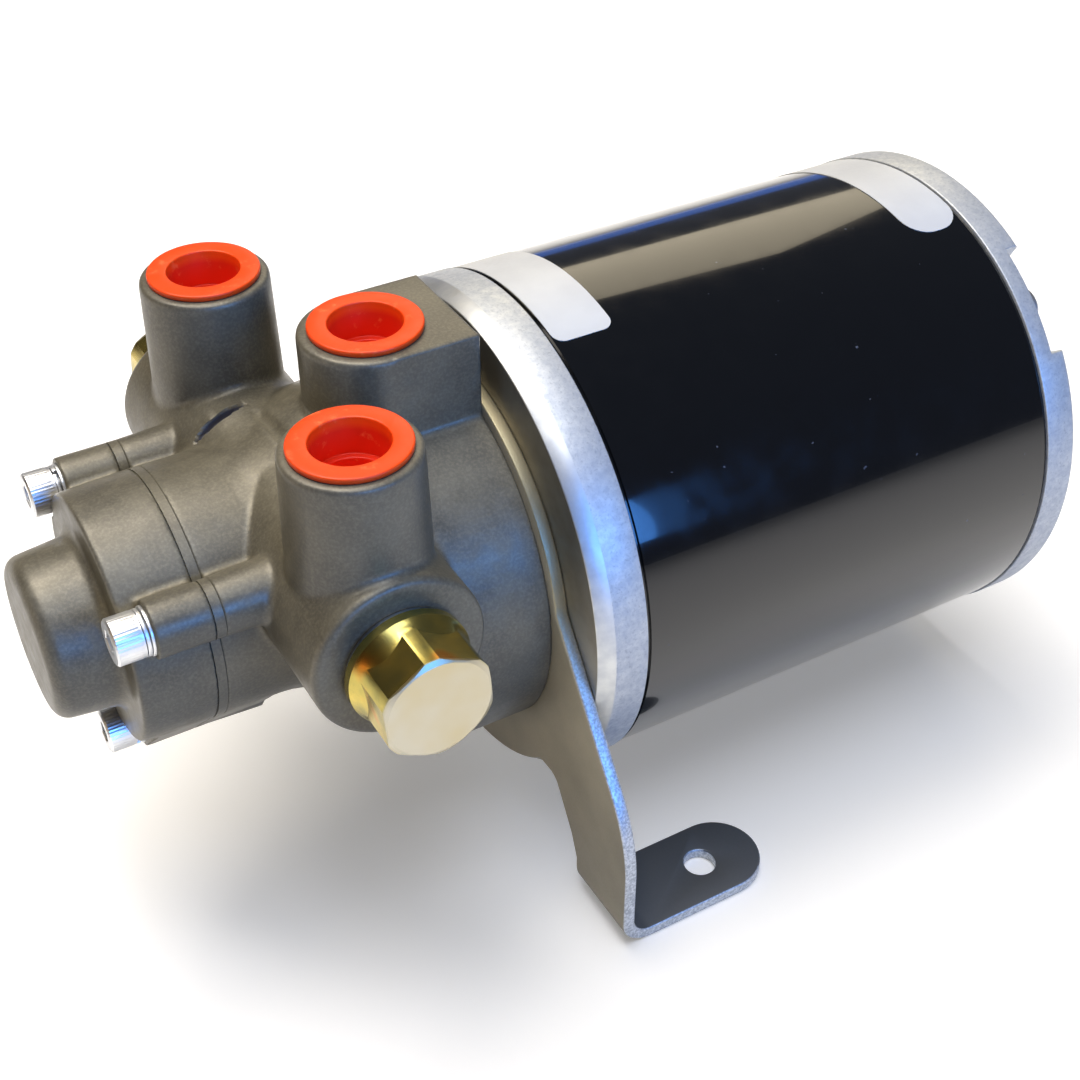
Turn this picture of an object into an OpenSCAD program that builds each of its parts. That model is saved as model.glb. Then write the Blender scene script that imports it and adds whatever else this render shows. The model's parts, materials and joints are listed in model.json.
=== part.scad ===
// Reversible hydraulic pump for a marine autopilot: a 4 inch DC motor drives a pair of
// spur gears, and a lock valve across the pump body holds the steering cylinder still.
// Millimetres. +X runs along the shaft towards the rear of the motor, +Z is up.
// The origin lies between the two foot holes, on the underside of the feet.

/* [Motor] */
// Outside diameter of the two end bells
motor_d = 101.6; // [98:0.2:106]
// How far the painted tube stands below the rims of the bells
tube_step = 0.3; // [0.1:0.1:0.8]
// Wall of the steel tube
tube_wall = 3.2; // [2.4:0.1:4]
// Length of the steel tube
tube_len = 95.7; // [92:0.1:110]
// Length of the front bell from its face to the tube
front_bell_len = 10.1; // [9:0.1:13]
// Length of the rear bell behind the tube
rear_bell_len = 7.6; // [7:0.1:10]
// Length of the turned facet round the front bell's face
facet_len = 3.2; // [1:0.1:5]
// Drop of that facet at the face
facet_drop = 1.3; // [0.4:0.1:2]
// Width in degrees of the two pads cut into the rear bell's rim
pad_angle = 26; // [20:1:34]
// Depth of those pads
pad_depth = 3.6; // [2:0.1:4.5]
// Shaft diameter at the bearings
shaft_d = 12; // [10:0.5:13]
// Outside diameter of the ball bearings
bearing_d = 28; // [26:0.5:32]
// Width of the ball bearings
bearing_w = 8; // [7:0.5:9]
// Radial thickness of the field magnets
magnet_t = 8; // [6:0.5:10]
// Length of the field magnets
magnet_len = 56; // [48:1:60]
// Arc of each of the two magnets
magnet_angle = 130; // [110:1:140]
// Air gap between magnets and armature
air_gap = 0.6; // [0.4:0.1:1]
// Stack length of the armature
core_len = 42; // [36:1:46]
// Number of armature slots
slot_count = 12; // [8:1:14]
// Diameter of each armature slot
slot_d = 8; // [6:0.5:9]
// Reach of the end turns beyond the stack
end_turn_len = 9; // [7:0.5:10]
// Diameter of the commutator
commutator_d = 32; // [28:0.5:36]
// Length of the commutator
commutator_len = 16; // [14:0.5:17]
// Number of commutator bars
bar_count = 24; // [16:2:32]
// Diameter of the through bolts that clamp the bells to the tube
through_bolt_d = 5; // [4:0.5:5]

/* [Bracket] */
// Height of the motor shaft above the underside of the feet
axis_h = 59; // [58:0.5:70]
// Distance between the two foot holes
foot_hole_span = 112.4; // [108:0.2:120]
// Diameter of the foot holes
foot_hole_d = 6.4; // [5:0.1:8]
// From the front face of the plate to the foot holes
foot_reach = 24; // [20:0.1:30]
// From a foot hole to the end of its foot
foot_edge = 13; // [9:0.1:16]
// Width of a foot
foot_w = 18; // [15:0.1:22]
// Thickness of the plate
plate_t = 2.6; // [2:0.1:3.4]
// Inner radius of the bend above each foot
bend_r = 4; // [2:0.1:6]
// Radius of the plate round the pump's flange
plate_top_r = 39.6; // [38.5:0.1:42]
// Radius of the plate's lower edge between the legs
plate_low_r = 48; // [45:0.1:50]
// Radius of the curve down the outer side of a leg
leg_curve_r = 32; // [26:0.5:36]
// Lean of the straight upper part of a leg
leg_lean = 35.6; // [30:0.2:40]

/* [Pump body] */
// Length of the body casting from the plate to the split
body_len = 57.6; // [57:0.1:64]
// Diameter of the mounting flange
flange_d = 75.4; // [72:0.1:76]
// Length of the mounting flange
flange_len = 19; // [16:0.1:21]
// Diameter of the register spigot
spigot_d = 40; // [36:0.5:44]
// Wall between the gears and the outside of the head
chamber_wall = 4.2; // [3.6:0.1:6]
// Distance from the plate to the two steering ports
port_setback = 34.2; // [33.5:0.1:36]
// Distance between the two steering ports
port_spacing = 64.4; // [62:0.1:70]
// Distance from the plate to the reservoir port
reservoir_setback = 16.3; // [15:0.1:17]
// Height of the port faces above the motor shaft
port_rise = 52.6; // [51:0.1:60]
// Outside diameter of the port towers at the top
tower_d = 24.2; // [22.5:0.1:26]
// Growth of a tower's diameter towards its foot
tower_draft = 1.6; // [0:0.1:3]
// Rounding of the port rims
rim_r = 1; // [0.4:0.1:1.4]
// Width of the reservoir port's block
block_w = 25; // [23:0.1:28]
// Height of the lock valve's axis above the motor shaft
valve_rise = 18.5; // [18:0.1:22]
// Diameter of the lock valve's boss
valve_boss_d = 32; // [29:0.1:33]
// Length of that boss across the pump
valve_boss_len = 94; // [92:0.2:102]
// Rounding of the boss's two ends
boss_edge_r = 1.4; // [0.4:0.1:2]
// Distance from the split to the start of the swell towards the flange
swell_start = 11.6; // [9:0.1:14]
// Growth in diameter of that swell
swell_growth = 13; // [8:0.2:15]

/* [Ports] */
// Tapping diameter of the ports
port_bore_d = 15.2; // [14:0.1:15.6]
// Depth of the port threads
port_depth = 14; // [12.5:0.5:16]
// Diameter of the oil gallery below a port
gallery_d = 8; // [5:0.1:9]
// Diameter of the small galleries
small_gallery_d = 5.2; // [4:0.1:5.6]

/* [Gears] */
// Module of the pump gears
gear_module = 1.8; // [1.72:0.01:1.85]
// Teeth on each pump gear
gear_teeth = 10; // [10:1:10]
// Pressure angle of the teeth
pressure_angle = 28; // [26:0.5:30]
// Width of the gears
gear_w = 10; // [8:0.1:10.5]
// Backlash between the teeth, on the pitch circle
backlash = 0.3; // [0.2:0.02:0.4]
// Diameter of the pump shafts
pump_shaft_d = 8; // [7:0.1:8.6]
// Wall of the plain bushes
bush_wall = 1.5; // [1.2:0.1:1.6]
// Length of the bushes in the body
body_bush_len = 12; // [10:0.5:13]
// Length of the bushes in the cover
cover_bush_len = 9.5; // [8:0.5:10]

/* [Cover] */
// Length of the gear cover from the port plate to its face
cover_len = 13.7; // [13.2:0.1:17]
// Taper of the cover's diameter towards its face
cover_draft = 0.8; // [0.4:0.1:3]
// Rounding of the cover's front edge
cover_edge_r = 0.8; // [0.4:0.1:2]
// Diameter of the bearing dome on the cover
dome_d = 32; // [31.4:0.1:35]
// Length of the bearing dome
dome_len = 12.2; // [12:0.1:16]
// Taper of the dome's diameter towards its end
dome_draft = 1.4; // [0.4:0.1:1.6]
// Rounding of the dome's end
dome_edge_r = 3; // [1:0.1:3.6]
// Fillet where the dome meets the cover's face
dome_foot_r = 2; // [0.5:0.1:3]
// Thickness of the steel port plate
port_plate_t = 1.7; // [1.2:0.1:2.5]

/* [Cover screws] */
// Thread diameter of the cover screws
cover_screw_d = 5; // [4:0.5:5]
// Diameter of their socket heads
screw_head_d = 8.5; // [8:0.1:9.6]
// Height of their socket heads
screw_head_h = 5; // [4:0.1:6]
// Thickness of the spring washers
washer_t = 1.6; // [0.8:0.1:2]
// Diameter of the screw lugs at the cover
lug_d = 10.6; // [10:0.1:11]
// Growth of a lug's diameter along the body
lug_growth = 0.9; // [0:0.1:1.4]
// Length of the lugs on the body, behind the split
lug_len = 11.5; // [11:0.1:13]
// Distance from the cover's face back to the lug faces
lug_set = 3.6; // [3:0.1:4.4]
// Distance of the lug centres outside the head
lug_out = 3; // [2.8:0.1:3.6]
// Room cut into the cover's side round each screw head
spot_face_room = 0.5; // [0.3:0.1:0.8]

/* [Lock valve] */
// Bore of the lock valve
valve_bore_d = 14; // [13:0.1:15]
// Thread diameter of the hexagon plugs
plug_thread_d = 16; // [15.6:0.1:18]
// Length of the plug thread in the body
plug_thread_len = 8; // [6:0.1:8]
// Diameter of the plug's collar
plug_collar_d = 22.4; // [21.6:0.1:24]
// Thickness of the plug's collar
plug_collar_t = 2.2; // [1.6:0.1:3]
// Width across the flats of the hexagon
plug_hex_af = 19; // [17:0.1:20]
// Length of the hexagon
plug_hex_len = 10.5; // [8:0.1:13]
// Thickness of the sealing washers
plug_seal_t = 1; // [0.8:0.1:1.5]
// Distance from the middle of the valve to each seat
seat_offset = 20; // [19:0.1:20.5]
// Thickness of a check seat
seat_len = 7; // [6:0.1:7.5]
// Width across the flats of a check poppet
poppet_af = 11.4; // [10.6:0.1:12.4]
// Length of a check poppet behind its nose
poppet_len = 8.6; // [7:0.1:9]
// Lift of a check poppet
poppet_lift = 3; // [2:0.1:3]
// Half the length of the shuttle's land
shuttle_half = 7; // [6:0.1:7.5]
// Travel of the shuttle to each side
shuttle_travel = 2.2; // [1.5:0.1:2.2]

/* [Port caps] */
// Diameter of a cap's flange
cap_d = 21; // [19:0.1:22]
// Thickness of a cap's flange
cap_t = 1.2; // [0.8:0.1:2]
// Diameter of the cup in a cap
cap_cup_d = 13.6; // [12.8:0.1:14]
// Depth of the cup
cap_cup_depth = 8; // [6:0.1:9]
// Thickness of the cup's floor
cap_floor_t = 1; // [0.8:0.1:2]

/* [Hidden] */
$fn = 72;
running_clear = 0.05;
seat_clear = 0.03;
gap = 0.3;
end_gap = 0.5;
overlap = 0.01;
over = 1;

// Places along the shaft, front to rear
plate_x = -foot_reach;
front_bell_x = plate_x + plate_t;
tube_x = front_bell_x + front_bell_len;
rear_bell_x = tube_x + tube_len;
motor_end_x = rear_bell_x + rear_bell_len;
split_x = plate_x - body_len;
cover_rear_x = split_x - port_plate_t;
cover_face_x = cover_rear_x - cover_len;
dome_end_x = cover_face_x - dome_len;
port_x = plate_x - port_setback;
reservoir_x = plate_x - reservoir_setback;

// Gear pair: the drive gear turns on the motor's axis and the idler runs above it
pitch_r = gear_module * gear_teeth / 2;
tip_r = pitch_r + gear_module;
dedendum = 1.2;
root_r = pitch_r - dedendum * gear_module;
gear_spacing = 2 * pitch_r;
idler_h = axis_h + gear_spacing;
head_h = axis_h + pitch_r;
head_r = pitch_r + tip_r + chamber_wall;
chamber_r = tip_r + running_clear;
chamber_depth = gear_w + 2 * seat_clear;
gear_x = cover_rear_x - gear_w - seat_clear;
chamber_floor_x = cover_rear_x - chamber_depth;
pump_shaft_r = pump_shaft_d / 2;
bush_r = pump_shaft_r + bush_wall;
drive_tooth_angle = 90;
idler_tooth_angle = -90 + 180 / gear_teeth;

// Motor
motor_r = motor_d / 2;
tube_r = motor_r - tube_step;
tube_bore_r = tube_r - tube_wall;
shaft_r = shaft_d / 2;
bearing_r = bearing_d / 2;
bell_spigot_len = 3;
bell_web_t = 7;
bell_ring_t = 3;
bearing_wall = 4;
register_depth = 3;
bearing_floor_t = 2.8;
rear_bearing_sink = 3.6;
front_bearing_x = front_bell_x + register_depth + bearing_floor_t;
rear_bearing_x = rear_bell_x - bearing_w + rear_bearing_sink;
bearing_places = [front_bearing_x, rear_bearing_x];
race_t = 2.6;
ball_count = 8;
ball_pitch_r = (bearing_r + shaft_r) / 2;
race_groove = 0.5;
ball_r = (bearing_r - shaft_r) / 2 - race_t + race_groove;
shaft_shoulder = 2;
shaft_mid_r = shaft_r + shaft_shoulder;
core_r = tube_bore_r - magnet_t - air_gap;
core_set = 20;
core_x = tube_x + core_set;
field_x = core_x + core_len / 2 - magnet_len / 2;
commutator_gap = 2;
commutator_x = core_x + core_len + end_turn_len + commutator_gap;
commutator_r = commutator_d / 2;
slot_lip_t = 1.2;
slot_pcr = core_r - slot_d / 2 - slot_lip_t;
slot_mouth_w = 2.4;
slot_angles = [for (i = [0:slot_count - 1]) 360 * i / slot_count];
through_bolt_r = through_bolt_d / 2;
through_bolt_room = 1;
through_bolt_pcr = tube_bore_r - through_bolt_r - through_bolt_room;
through_bolt_head_r = 4.2;
pad_mid_angle = 132;
through_bolt_angles = [pad_mid_angle, pad_mid_angle + 180];
pad_room = 0.6;
pad_inner_r = through_bolt_pcr - through_bolt_head_r - pad_room;
brush_plate_t = 2;
brush_plate_x = commutator_x + commutator_len + end_gap;
brush_size = [9, 7, 14];
brush_wrap = 1;
brush_room = 2.5;
brush_foot_h = axis_h + commutator_r - brush_wrap;
brush_holder_gap = 3;
brush_holder_h = axis_h + commutator_r + brush_holder_gap;
brush_holder_wall = 1.2;
brush_holder_roof = 1.5;
brush_angles = [90, 270];
brush_x = commutator_x + commutator_len / 2 - brush_size[0] / 2;
grommet_r = 5;
grommet_inset = 4;
grommet_angle = 30;
rear_web_set = 1;
rear_web_x = rear_bell_x + rear_web_set;

// Bracket: the inner side of a leg leaves the plate's lower edge in a rounded crotch,
// slopes out and flares into the foot. Drops are measured down from the motor shaft.
leg_curve_drop = 40;
low_edge_end = -46.5;
crotch_r = 3.4;
crotch_inset = 10.3;
crotch_drop = 38;
crotch_start = 100;
crotch_end = 33;
flare_drop = 50;
flare_size = [2.1, 5.3];

// Screws from the motor through the bracket into the pump's flange
flange_screw_count = 4;
flange_screw_r = 2.5;
flange_screw_pcr = 31;
flange_screw_head_r = 4.25;
flange_screw_head_h = 4;
flange_screw_grip = 12;
flange_screw_angle = 45;

// Pump body
flange_r = flange_d / 2;
spigot_r = spigot_d / 2;
spigot_clear = 0.2;
spigot_end_x = front_bell_x + register_depth - spigot_clear;
flange_edge_r = 1.5;
swell_run_out = 4;
swell_steps = 10;
block_sink = 12;
port_y = port_spacing / 2;
port_face_h = axis_h + port_rise;
tower_r = tower_d / 2;
valve_h = axis_h + valve_rise;
valve_boss_r = valve_boss_d / 2;
valve_face_y = valve_boss_len / 2;
valve_bore_r = valve_bore_d / 2;
port_bore_r = port_bore_d / 2;
coupling_r = 10;
coupling_len = 12;
coupling_set = 8;
coupling_x = plate_x - coupling_set;
coupling_room = 3;
seal_r = 9;
seal_len = 7;
seal_set = 1;
seal_x = coupling_x - seal_set - seal_len;
pump_port_out = 1;
pump_port_up = 2;
pump_port_y = pitch_r + pump_port_out;
pump_port_h = head_h + pump_port_up;
seal_w = 1.1;
seal_depth = 0.8;

// Screw lugs, counted round the head's axis from +Y towards +Z
lug_r = lug_d / 2;
lug_web_share = 0.8;
lug_web_w = lug_d * lug_web_share;
lug_end_bevel = 1.2;
lug_pcr = head_r + lug_out;
lug_upper_angles = [30, 150];
lug_low_angle = 270;
lug_angles = concat(lug_upper_angles, [lug_low_angle]);
lug_face_x = cover_face_x + lug_set;
lug_end_x = split_x + lug_len;
cover_screw_r = cover_screw_d / 2;
washer_rim = 0.2;
washer_r = screw_head_d / 2 + washer_rim;
tapping_floor_t = 0.8;
tapping_end_x = lug_end_x - tapping_floor_t;

// Lock valve
plug_thread_r = plug_thread_d / 2;
plug_seat_y = valve_face_y + plug_seal_t;
plug_inner_y = valve_face_y - plug_thread_len + plug_seal_t;
plug_end_y = plug_seat_y + plug_collar_t + plug_hex_len;
hex_round = 0.3;
hex_bevel = 0.8;
seat_hole_r = 2.6;
seat_cone_r = 4.4;
seat_face_y = seat_offset + seat_len;
nose_clear = 0.4;
spring_spigot_len = 2;
poppet_guide_r = valve_bore_r - running_clear;
nose_len = 2;
poppet_back_y = seat_face_y + gap + poppet_len;
spring_wire_r = 0.4;
spring_r = 2.9;
spring_turns = 5;
spring_room = 0.4;
spring_pocket_r = spring_r + spring_wire_r + spring_room;
spring_pocket_len = 5.5;
spring_end_y = plug_inner_y + spring_pocket_len;
poppet_stop_y = poppet_back_y + poppet_lift + gap;
stop_nose_r = valve_bore_r - gap;
seal_step = 0.6;
push_rod_r = 1.8;
push_rod_end_y = seat_face_y - nose_len - shuttle_travel - gap;

// Port caps
cap_r = cap_d / 2;
cup_r = cap_cup_d / 2;
stem_clear = 0.1;
stem_r = port_bore_r - stem_clear;
stem_len = cap_cup_depth + cap_floor_t;
cap_step_w = 1.3;
cap_step_h = 2;
cap_step_r = cup_r - cap_step_w;
cap_step_depth = cap_cup_depth - cap_step_h;

// Finishes
coated_grey = [0.36, 0.345, 0.315];
bare_aluminium = [0.74, 0.75, 0.77];
gloss_black = [0.03, 0.03, 0.035];
zinc_silver = [0.82, 0.83, 0.85];
zinc_yellow = [0.86, 0.78, 0.42];
cap_red = [0.95, 0.3, 0.13];
bare_steel = [0.6, 0.61, 0.63];
bronze = [0.75, 0.55, 0.3];
copper = [0.8, 0.42, 0.22];
ferrite = [0.2, 0.2, 0.21];
nitrile = [0.08, 0.08, 0.08];
phenolic = [0.42, 0.27, 0.15];

// Round bar along X from x0 to x1
module rod_x(x0, x1, r, h = axis_h, y = 0) {
    translate([x0, y, h]) rotate([0, 90, 0]) cylinder(h = x1 - x0, r = r);
}

// Cone along X whose radius runs from r0 at x0 to r1 at x1
module cone_x(x0, x1, r0, r1, h = axis_h, y = 0) {
    translate([x0, y, h]) rotate([0, 90, 0]) cylinder(h = x1 - x0, r1 = r0, r2 = r1);
}

// Round bar along Y from y0 to y1, on the lock valve's axis unless told otherwise
module rod_y(y0, y1, r, x = port_x, h = valve_h) {
    translate([x, y0, h]) rotate([-90, 0, 0]) cylinder(h = y1 - y0, r = r);
}

// Turned part about the lock valve's axis: the points are [radius, y]
module turn_y(points) {
    translate([port_x, 0, valve_h]) rotate([-90, 0, 0]) rotate_extrude() polygon(points);
}

// Upright round bar from h0 to h1
module rod_z(h0, h1, r, x, y) {
    translate([x, y, h0]) cylinder(h = h1 - h0, r = r);
}

// Turned part about the line at height h: the points are [radius, x]
module turn_x(points, h = axis_h) {
    translate([0, 0, h]) rotate([0, 90, 0]) rotate_extrude() polygon(points);
}

// Turns a child drawn for the far side (+Y) over to the near one (-Y)
module at_side(side) {
    mirror([0, side < 0 ? 1 : 0, 0]) children();
}

// Copies its children round the line at height h
module ring_x(angles, h = axis_h) {
    for (a = angles) translate([0, 0, h]) rotate([a, 0, 0]) translate([0, 0, -h]) children();
}

// Points on an arc, from angle a0 to a1
function arc(c, r, a0, a1, steps = 8) =
    [for (i = [0:steps]) let (a = a0 + (a1 - a0) * i / steps) c + r * [cos(a), sin(a)]];

// Points of a coil spring's wire, ring by ring, about the Z axis
function coil_ring(r, wire_r, pitch, a, sides) =
    let (out = [cos(a), sin(a), 0], mid = r * out + [0, 0, pitch * a / 360])
    [for (s = [0:sides - 1]) let (b = 360 * s / sides) mid + wire_r * (cos(b) * out + [0, 0, sin(b)])];

// Coil spring from height 0 to len, wound round the Z axis
module coil(r, wire_r, len, turns, sides = 6, steps = 12) {
    pitch = (len - 2 * wire_r) / turns;
    rings = turns * steps;
    points = [for (i = [0:rings]) each coil_ring(r, wire_r, pitch, 360 * i / steps, sides)];
    walls = [for (i = [0:rings - 1], s = [0:sides - 1])
        let (a = i * sides + s, b = i * sides + (s + 1) % sides) [a, a + sides, b + sides, b]];
    first = [for (s = [0:sides - 1]) s];
    last = [for (s = [sides - 1:-1:0]) rings * sides + s];
    translate([0, 0, wire_r]) polyhedron(points, concat(walls, [first, last]));
}

// Involute tooth form
function involute(a) = tan(a) * 180 / PI - a;
function flank_angle(r, base_r) = involute(acos(min(1, base_r / r)));

module gear_outline(first_tooth_angle) {
    base_r = pitch_r * cos(pressure_angle);
    half_tooth = 90 / gear_teeth - backlash / 4 / pitch_r * 180 / PI;
    spread = half_tooth + involute(pressure_angle);
    steps = 5;
    radii = [for (i = [0:steps]) base_r + (tip_r - base_r) * i / steps];
    rising = [for (r = radii) [r, -(spread - flank_angle(r, base_r))]];
    falling = [for (i = [steps:-1:0]) [radii[i], spread - flank_angle(radii[i], base_r)]];
    tooth = concat([[root_r, -spread]], rising, falling, [[root_r, spread]]);
    polygon([for (t = [0:gear_teeth - 1], p = tooth)
        let (a = first_tooth_angle + 360 * t / gear_teeth + p[1]) p[0] * [cos(a), sin(a)]]);
}

// Gear across the chamber, bored for its shaft; angles run from +Y towards +Z
module pump_gear(h, first_tooth_angle) {
    difference() {
        translate([gear_x, 0, h]) rotate([90, 0, 90]) linear_extrude(gear_w)
            gear_outline(first_tooth_angle);
        rod_x(gear_x - over, gear_x + gear_w + over, pump_shaft_r + seat_clear, h);
    }
}

// Places a child round the head at each screw lug
module at_lugs() {
    for (a = lug_angles) translate([0, lug_pcr * cos(a), lug_pcr * sin(a)]) children();
}

// Places a child drawn on the motor's axis at the gear chamber's two oil passages
module at_pump_ports() {
    for (side = [-1, 1]) translate([0, side * pump_port_y, pump_port_h - axis_h]) children();
}

// Wedge of a disc between two angles, used to cut the rim pads
module sector_x(x0, x1, r, a0, a1) {
    translate([x0, 0, axis_h]) rotate([90, 0, 90]) linear_extrude(x1 - x0)
        polygon(concat([[0, 0]], arc([0, 0], r, a0, a1)));
}

module at_through_bolts() {
    for (a = through_bolt_angles)
        translate([0, through_bolt_pcr * cos(a), through_bolt_pcr * sin(a)]) children();
}

module at_flange_screws() {
    for (i = [0:flange_screw_count - 1])
        let (a = flange_screw_angle + 360 * i / flange_screw_count)
        translate([0, flange_screw_pcr * cos(a), flange_screw_pcr * sin(a)]) children();
}

module motor_tube() {
    lip = 0.8;
    lip_r = tube_r - 0.4;
    color(gloss_black) turn_x([
        [tube_bore_r, tube_x], [lip_r, tube_x], [lip_r, tube_x + lip], [tube_r, tube_x + lip],
        [tube_r, rear_bell_x - lip], [lip_r, rear_bell_x - lip], [lip_r, rear_bell_x],
        [tube_bore_r, rear_bell_x]
    ]);
}

module front_bell() {
    web_x = front_bell_x + bell_web_t;
    ring_end_x = tube_x + bell_spigot_len;
    ring_r = tube_bore_r - running_clear;
    boss_r = bearing_r + bearing_wall;
    pocket_x = front_bearing_x;
    shaft_hole_r = shaft_mid_r - end_gap;
    blind_t = 1;
    color(bare_aluminium) difference() {
        turn_x([
            [spigot_r + running_clear, front_bell_x], [motor_r - facet_drop, front_bell_x],
            [motor_r, front_bell_x + facet_len], [motor_r, tube_x], [ring_r, tube_x],
            [ring_r, ring_end_x], [ring_r - bell_ring_t, ring_end_x], [ring_r - bell_ring_t, web_x],
            [boss_r, web_x], [boss_r, pocket_x + bearing_w], [bearing_r + seat_clear, pocket_x + bearing_w],
            [bearing_r + seat_clear, pocket_x], [shaft_hole_r, pocket_x],
            [shaft_hole_r, front_bell_x + register_depth],
            [spigot_r + running_clear, front_bell_x + register_depth]
        ]);
        at_through_bolts()
            rod_x(front_bell_x + blind_t, ring_end_x + over, through_bolt_r + running_clear);
        at_flange_screws() rod_x(front_bell_x - over, web_x + over, flange_screw_r + running_clear);
        at_flange_screws() rod_x(web_x - flange_screw_head_h, web_x + over, flange_screw_head_r + gap);
    }
}

module rear_bell() {
    ring_r = tube_bore_r - running_clear;
    spigot_start_x = rear_bell_x - bell_spigot_len;
    boss_r = bearing_r + bearing_wall;
    cap_x = rear_bearing_x + bearing_w;
    edge = 1;
    color(bare_aluminium) difference() {
        turn_x([
            [0, cap_x], [bearing_r + seat_clear, cap_x], [bearing_r + seat_clear, rear_bearing_x],
            [boss_r, rear_bearing_x], [boss_r, rear_web_x], [ring_r - bell_ring_t, rear_web_x],
            [ring_r - bell_ring_t, spigot_start_x], [ring_r, spigot_start_x], [ring_r, rear_bell_x],
            [motor_r, rear_bell_x], [motor_r, motor_end_x - edge], [motor_r - edge, motor_end_x],
            [0, motor_end_x]
        ]);
        for (a = through_bolt_angles) difference() {
            sector_x(motor_end_x - pad_depth, motor_end_x + over, motor_r + over,
                a - pad_angle / 2, a + pad_angle / 2);
            rod_x(motor_end_x - pad_depth - over, motor_end_x + 2 * over, pad_inner_r);
        }
        at_through_bolts() rod_x(spigot_start_x - over, motor_end_x + over, through_bolt_r + running_clear);
        grommet_axis(spigot_start_x - over, motor_end_x + over, grommet_r + seat_clear);
    }
}

// The lead outlet lies in the rear bell's face, on the far side from the feet
module grommet_axis(x0, x1, r) {
    grommet_pcr = tube_bore_r - bell_ring_t - grommet_r - grommet_inset;
    translate([0, grommet_pcr * cos(grommet_angle), grommet_pcr * sin(grommet_angle)]) rod_x(x0, x1, r);
}

module lead_grommet() {
    lip = 1.5;
    lip_t = 1.2;
    wire_r = 1.5;
    wire_spacing = 3.8;
    inner_x = rear_web_x;
    color(nitrile) difference() {
        union() {
            grommet_axis(inner_x, motor_end_x, grommet_r);
            grommet_axis(motor_end_x, motor_end_x + lip_t, grommet_r + lip);
            grommet_axis(inner_x - lip_t, inner_x, grommet_r + lip);
        }
        for (side = [-1, 1]) translate([0, 0, side * wire_spacing / 2])
            grommet_axis(inner_x - lip_t - over, motor_end_x + lip_t + over, wire_r);
    }
}

module field_magnets() {
    outer_r = tube_bore_r - seat_clear;
    color(ferrite) for (a = [pad_mid_angle - 90, pad_mid_angle + 90]) difference() {
        rod_x(field_x, field_x + magnet_len, outer_r);
        rod_x(field_x - over, field_x + magnet_len + over, outer_r - magnet_t);
        difference() {
            rod_x(field_x - over, field_x + magnet_len + over, outer_r + over);
            sector_x(field_x - 2 * over, field_x + magnet_len + 2 * over, outer_r * 2,
                a - magnet_angle / 2, a + magnet_angle / 2);
        }
    }
}

module armature_core() {
    color(bare_steel) difference() {
        rod_x(core_x, core_x + core_len, core_r);
        rod_x(core_x - over, core_x + core_len + over, shaft_mid_r + seat_clear);
        ring_x(slot_angles) {
            rod_x(core_x - over, core_x + core_len + over, slot_d / 2, axis_h + slot_pcr);
            translate([core_x - over, -slot_mouth_w / 2, axis_h + slot_pcr])
                cube([core_len + 2 * over, slot_mouth_w, slot_d]);
        }
    }
}

module armature_windings() {
    slot_liner = 0.1;
    turn_bore_t = 3;
    inner_edge = 0.5;
    inner_r = shaft_mid_r + turn_bore_t;
    outer_r = slot_pcr + slot_d / 2;
    outer_edge = end_turn_len / 3;
    color(copper) union() {
        for (front = [true, false]) {
            x0 = front ? core_x - end_turn_len : core_x + core_len + slot_liner;
            x1 = front ? core_x - slot_liner : core_x + core_len + end_turn_len;
            low = front ? outer_edge : inner_edge;
            high = front ? inner_edge : outer_edge;
            turn_x([
                [inner_r, x0], [outer_r - low, x0], [outer_r, x0 + low], [outer_r, x1 - high],
                [outer_r - high, x1], [inner_r, x1]
            ]);
        }
        ring_x(slot_angles)
            rod_x(core_x - over, core_x + core_len + over, slot_d / 2 - slot_liner, axis_h + slot_pcr);
    }
}

module commutator() {
    bar_gap = 0.7;
    slit_depth = 1.4;
    riser_h = 1.6;
    riser_r = commutator_r + riser_h;
    riser_len = 2;
    bar_angles = [for (i = [0:bar_count - 1]) 360 * (i + 0.5) / bar_count];
    color(copper) difference() {
        union() {
            rod_x(commutator_x, commutator_x + commutator_len, commutator_r);
            rod_x(commutator_x, commutator_x + riser_len, riser_r);
        }
        rod_x(commutator_x - over, commutator_x + commutator_len + over, shaft_mid_r + seat_clear);
        ring_x(bar_angles)
            translate([commutator_x - over, -bar_gap / 2, axis_h + commutator_r - slit_depth])
            cube([commutator_len + 2 * over, bar_gap, 2 * slit_depth + riser_r - commutator_r]);
    }
}

module motor_shaft() {
    nose_x = coupling_x + coupling_len / 2 + gap;
    shoulder_x = front_bearing_x + bearing_w;
    color(bare_steel) union() {
        rod_x(nose_x, rear_bearing_x + bearing_w - end_gap, shaft_r);
        rod_x(shoulder_x + end_gap, rear_bearing_x - end_gap, shaft_mid_r);
    }
}

module bearing_ring(x, inner_r, outer_r) {
    color(bare_steel) difference() {
        rod_x(x, x + bearing_w, outer_r);
        rod_x(x - over, x + bearing_w + over, inner_r);
        translate([x + bearing_w / 2, 0, axis_h]) rotate([0, 90, 0]) rotate_extrude()
            translate([ball_pitch_r, 0]) circle(r = ball_r + running_clear);
    }
}

module bearing_outer_races() {
    for (x = bearing_places) bearing_ring(x, bearing_r - race_t, bearing_r);
}

module bearing_inner_races() {
    for (x = bearing_places) bearing_ring(x, shaft_r + seat_clear, shaft_r + race_t);
}

module bearing_balls() {
    ball_angles = [for (i = [0:ball_count - 1]) 360 * i / ball_count];
    color(zinc_silver) for (x = bearing_places)
        ring_x(ball_angles) translate([x + bearing_w / 2, 0, axis_h + ball_pitch_r]) sphere(r = ball_r);
}

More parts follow.
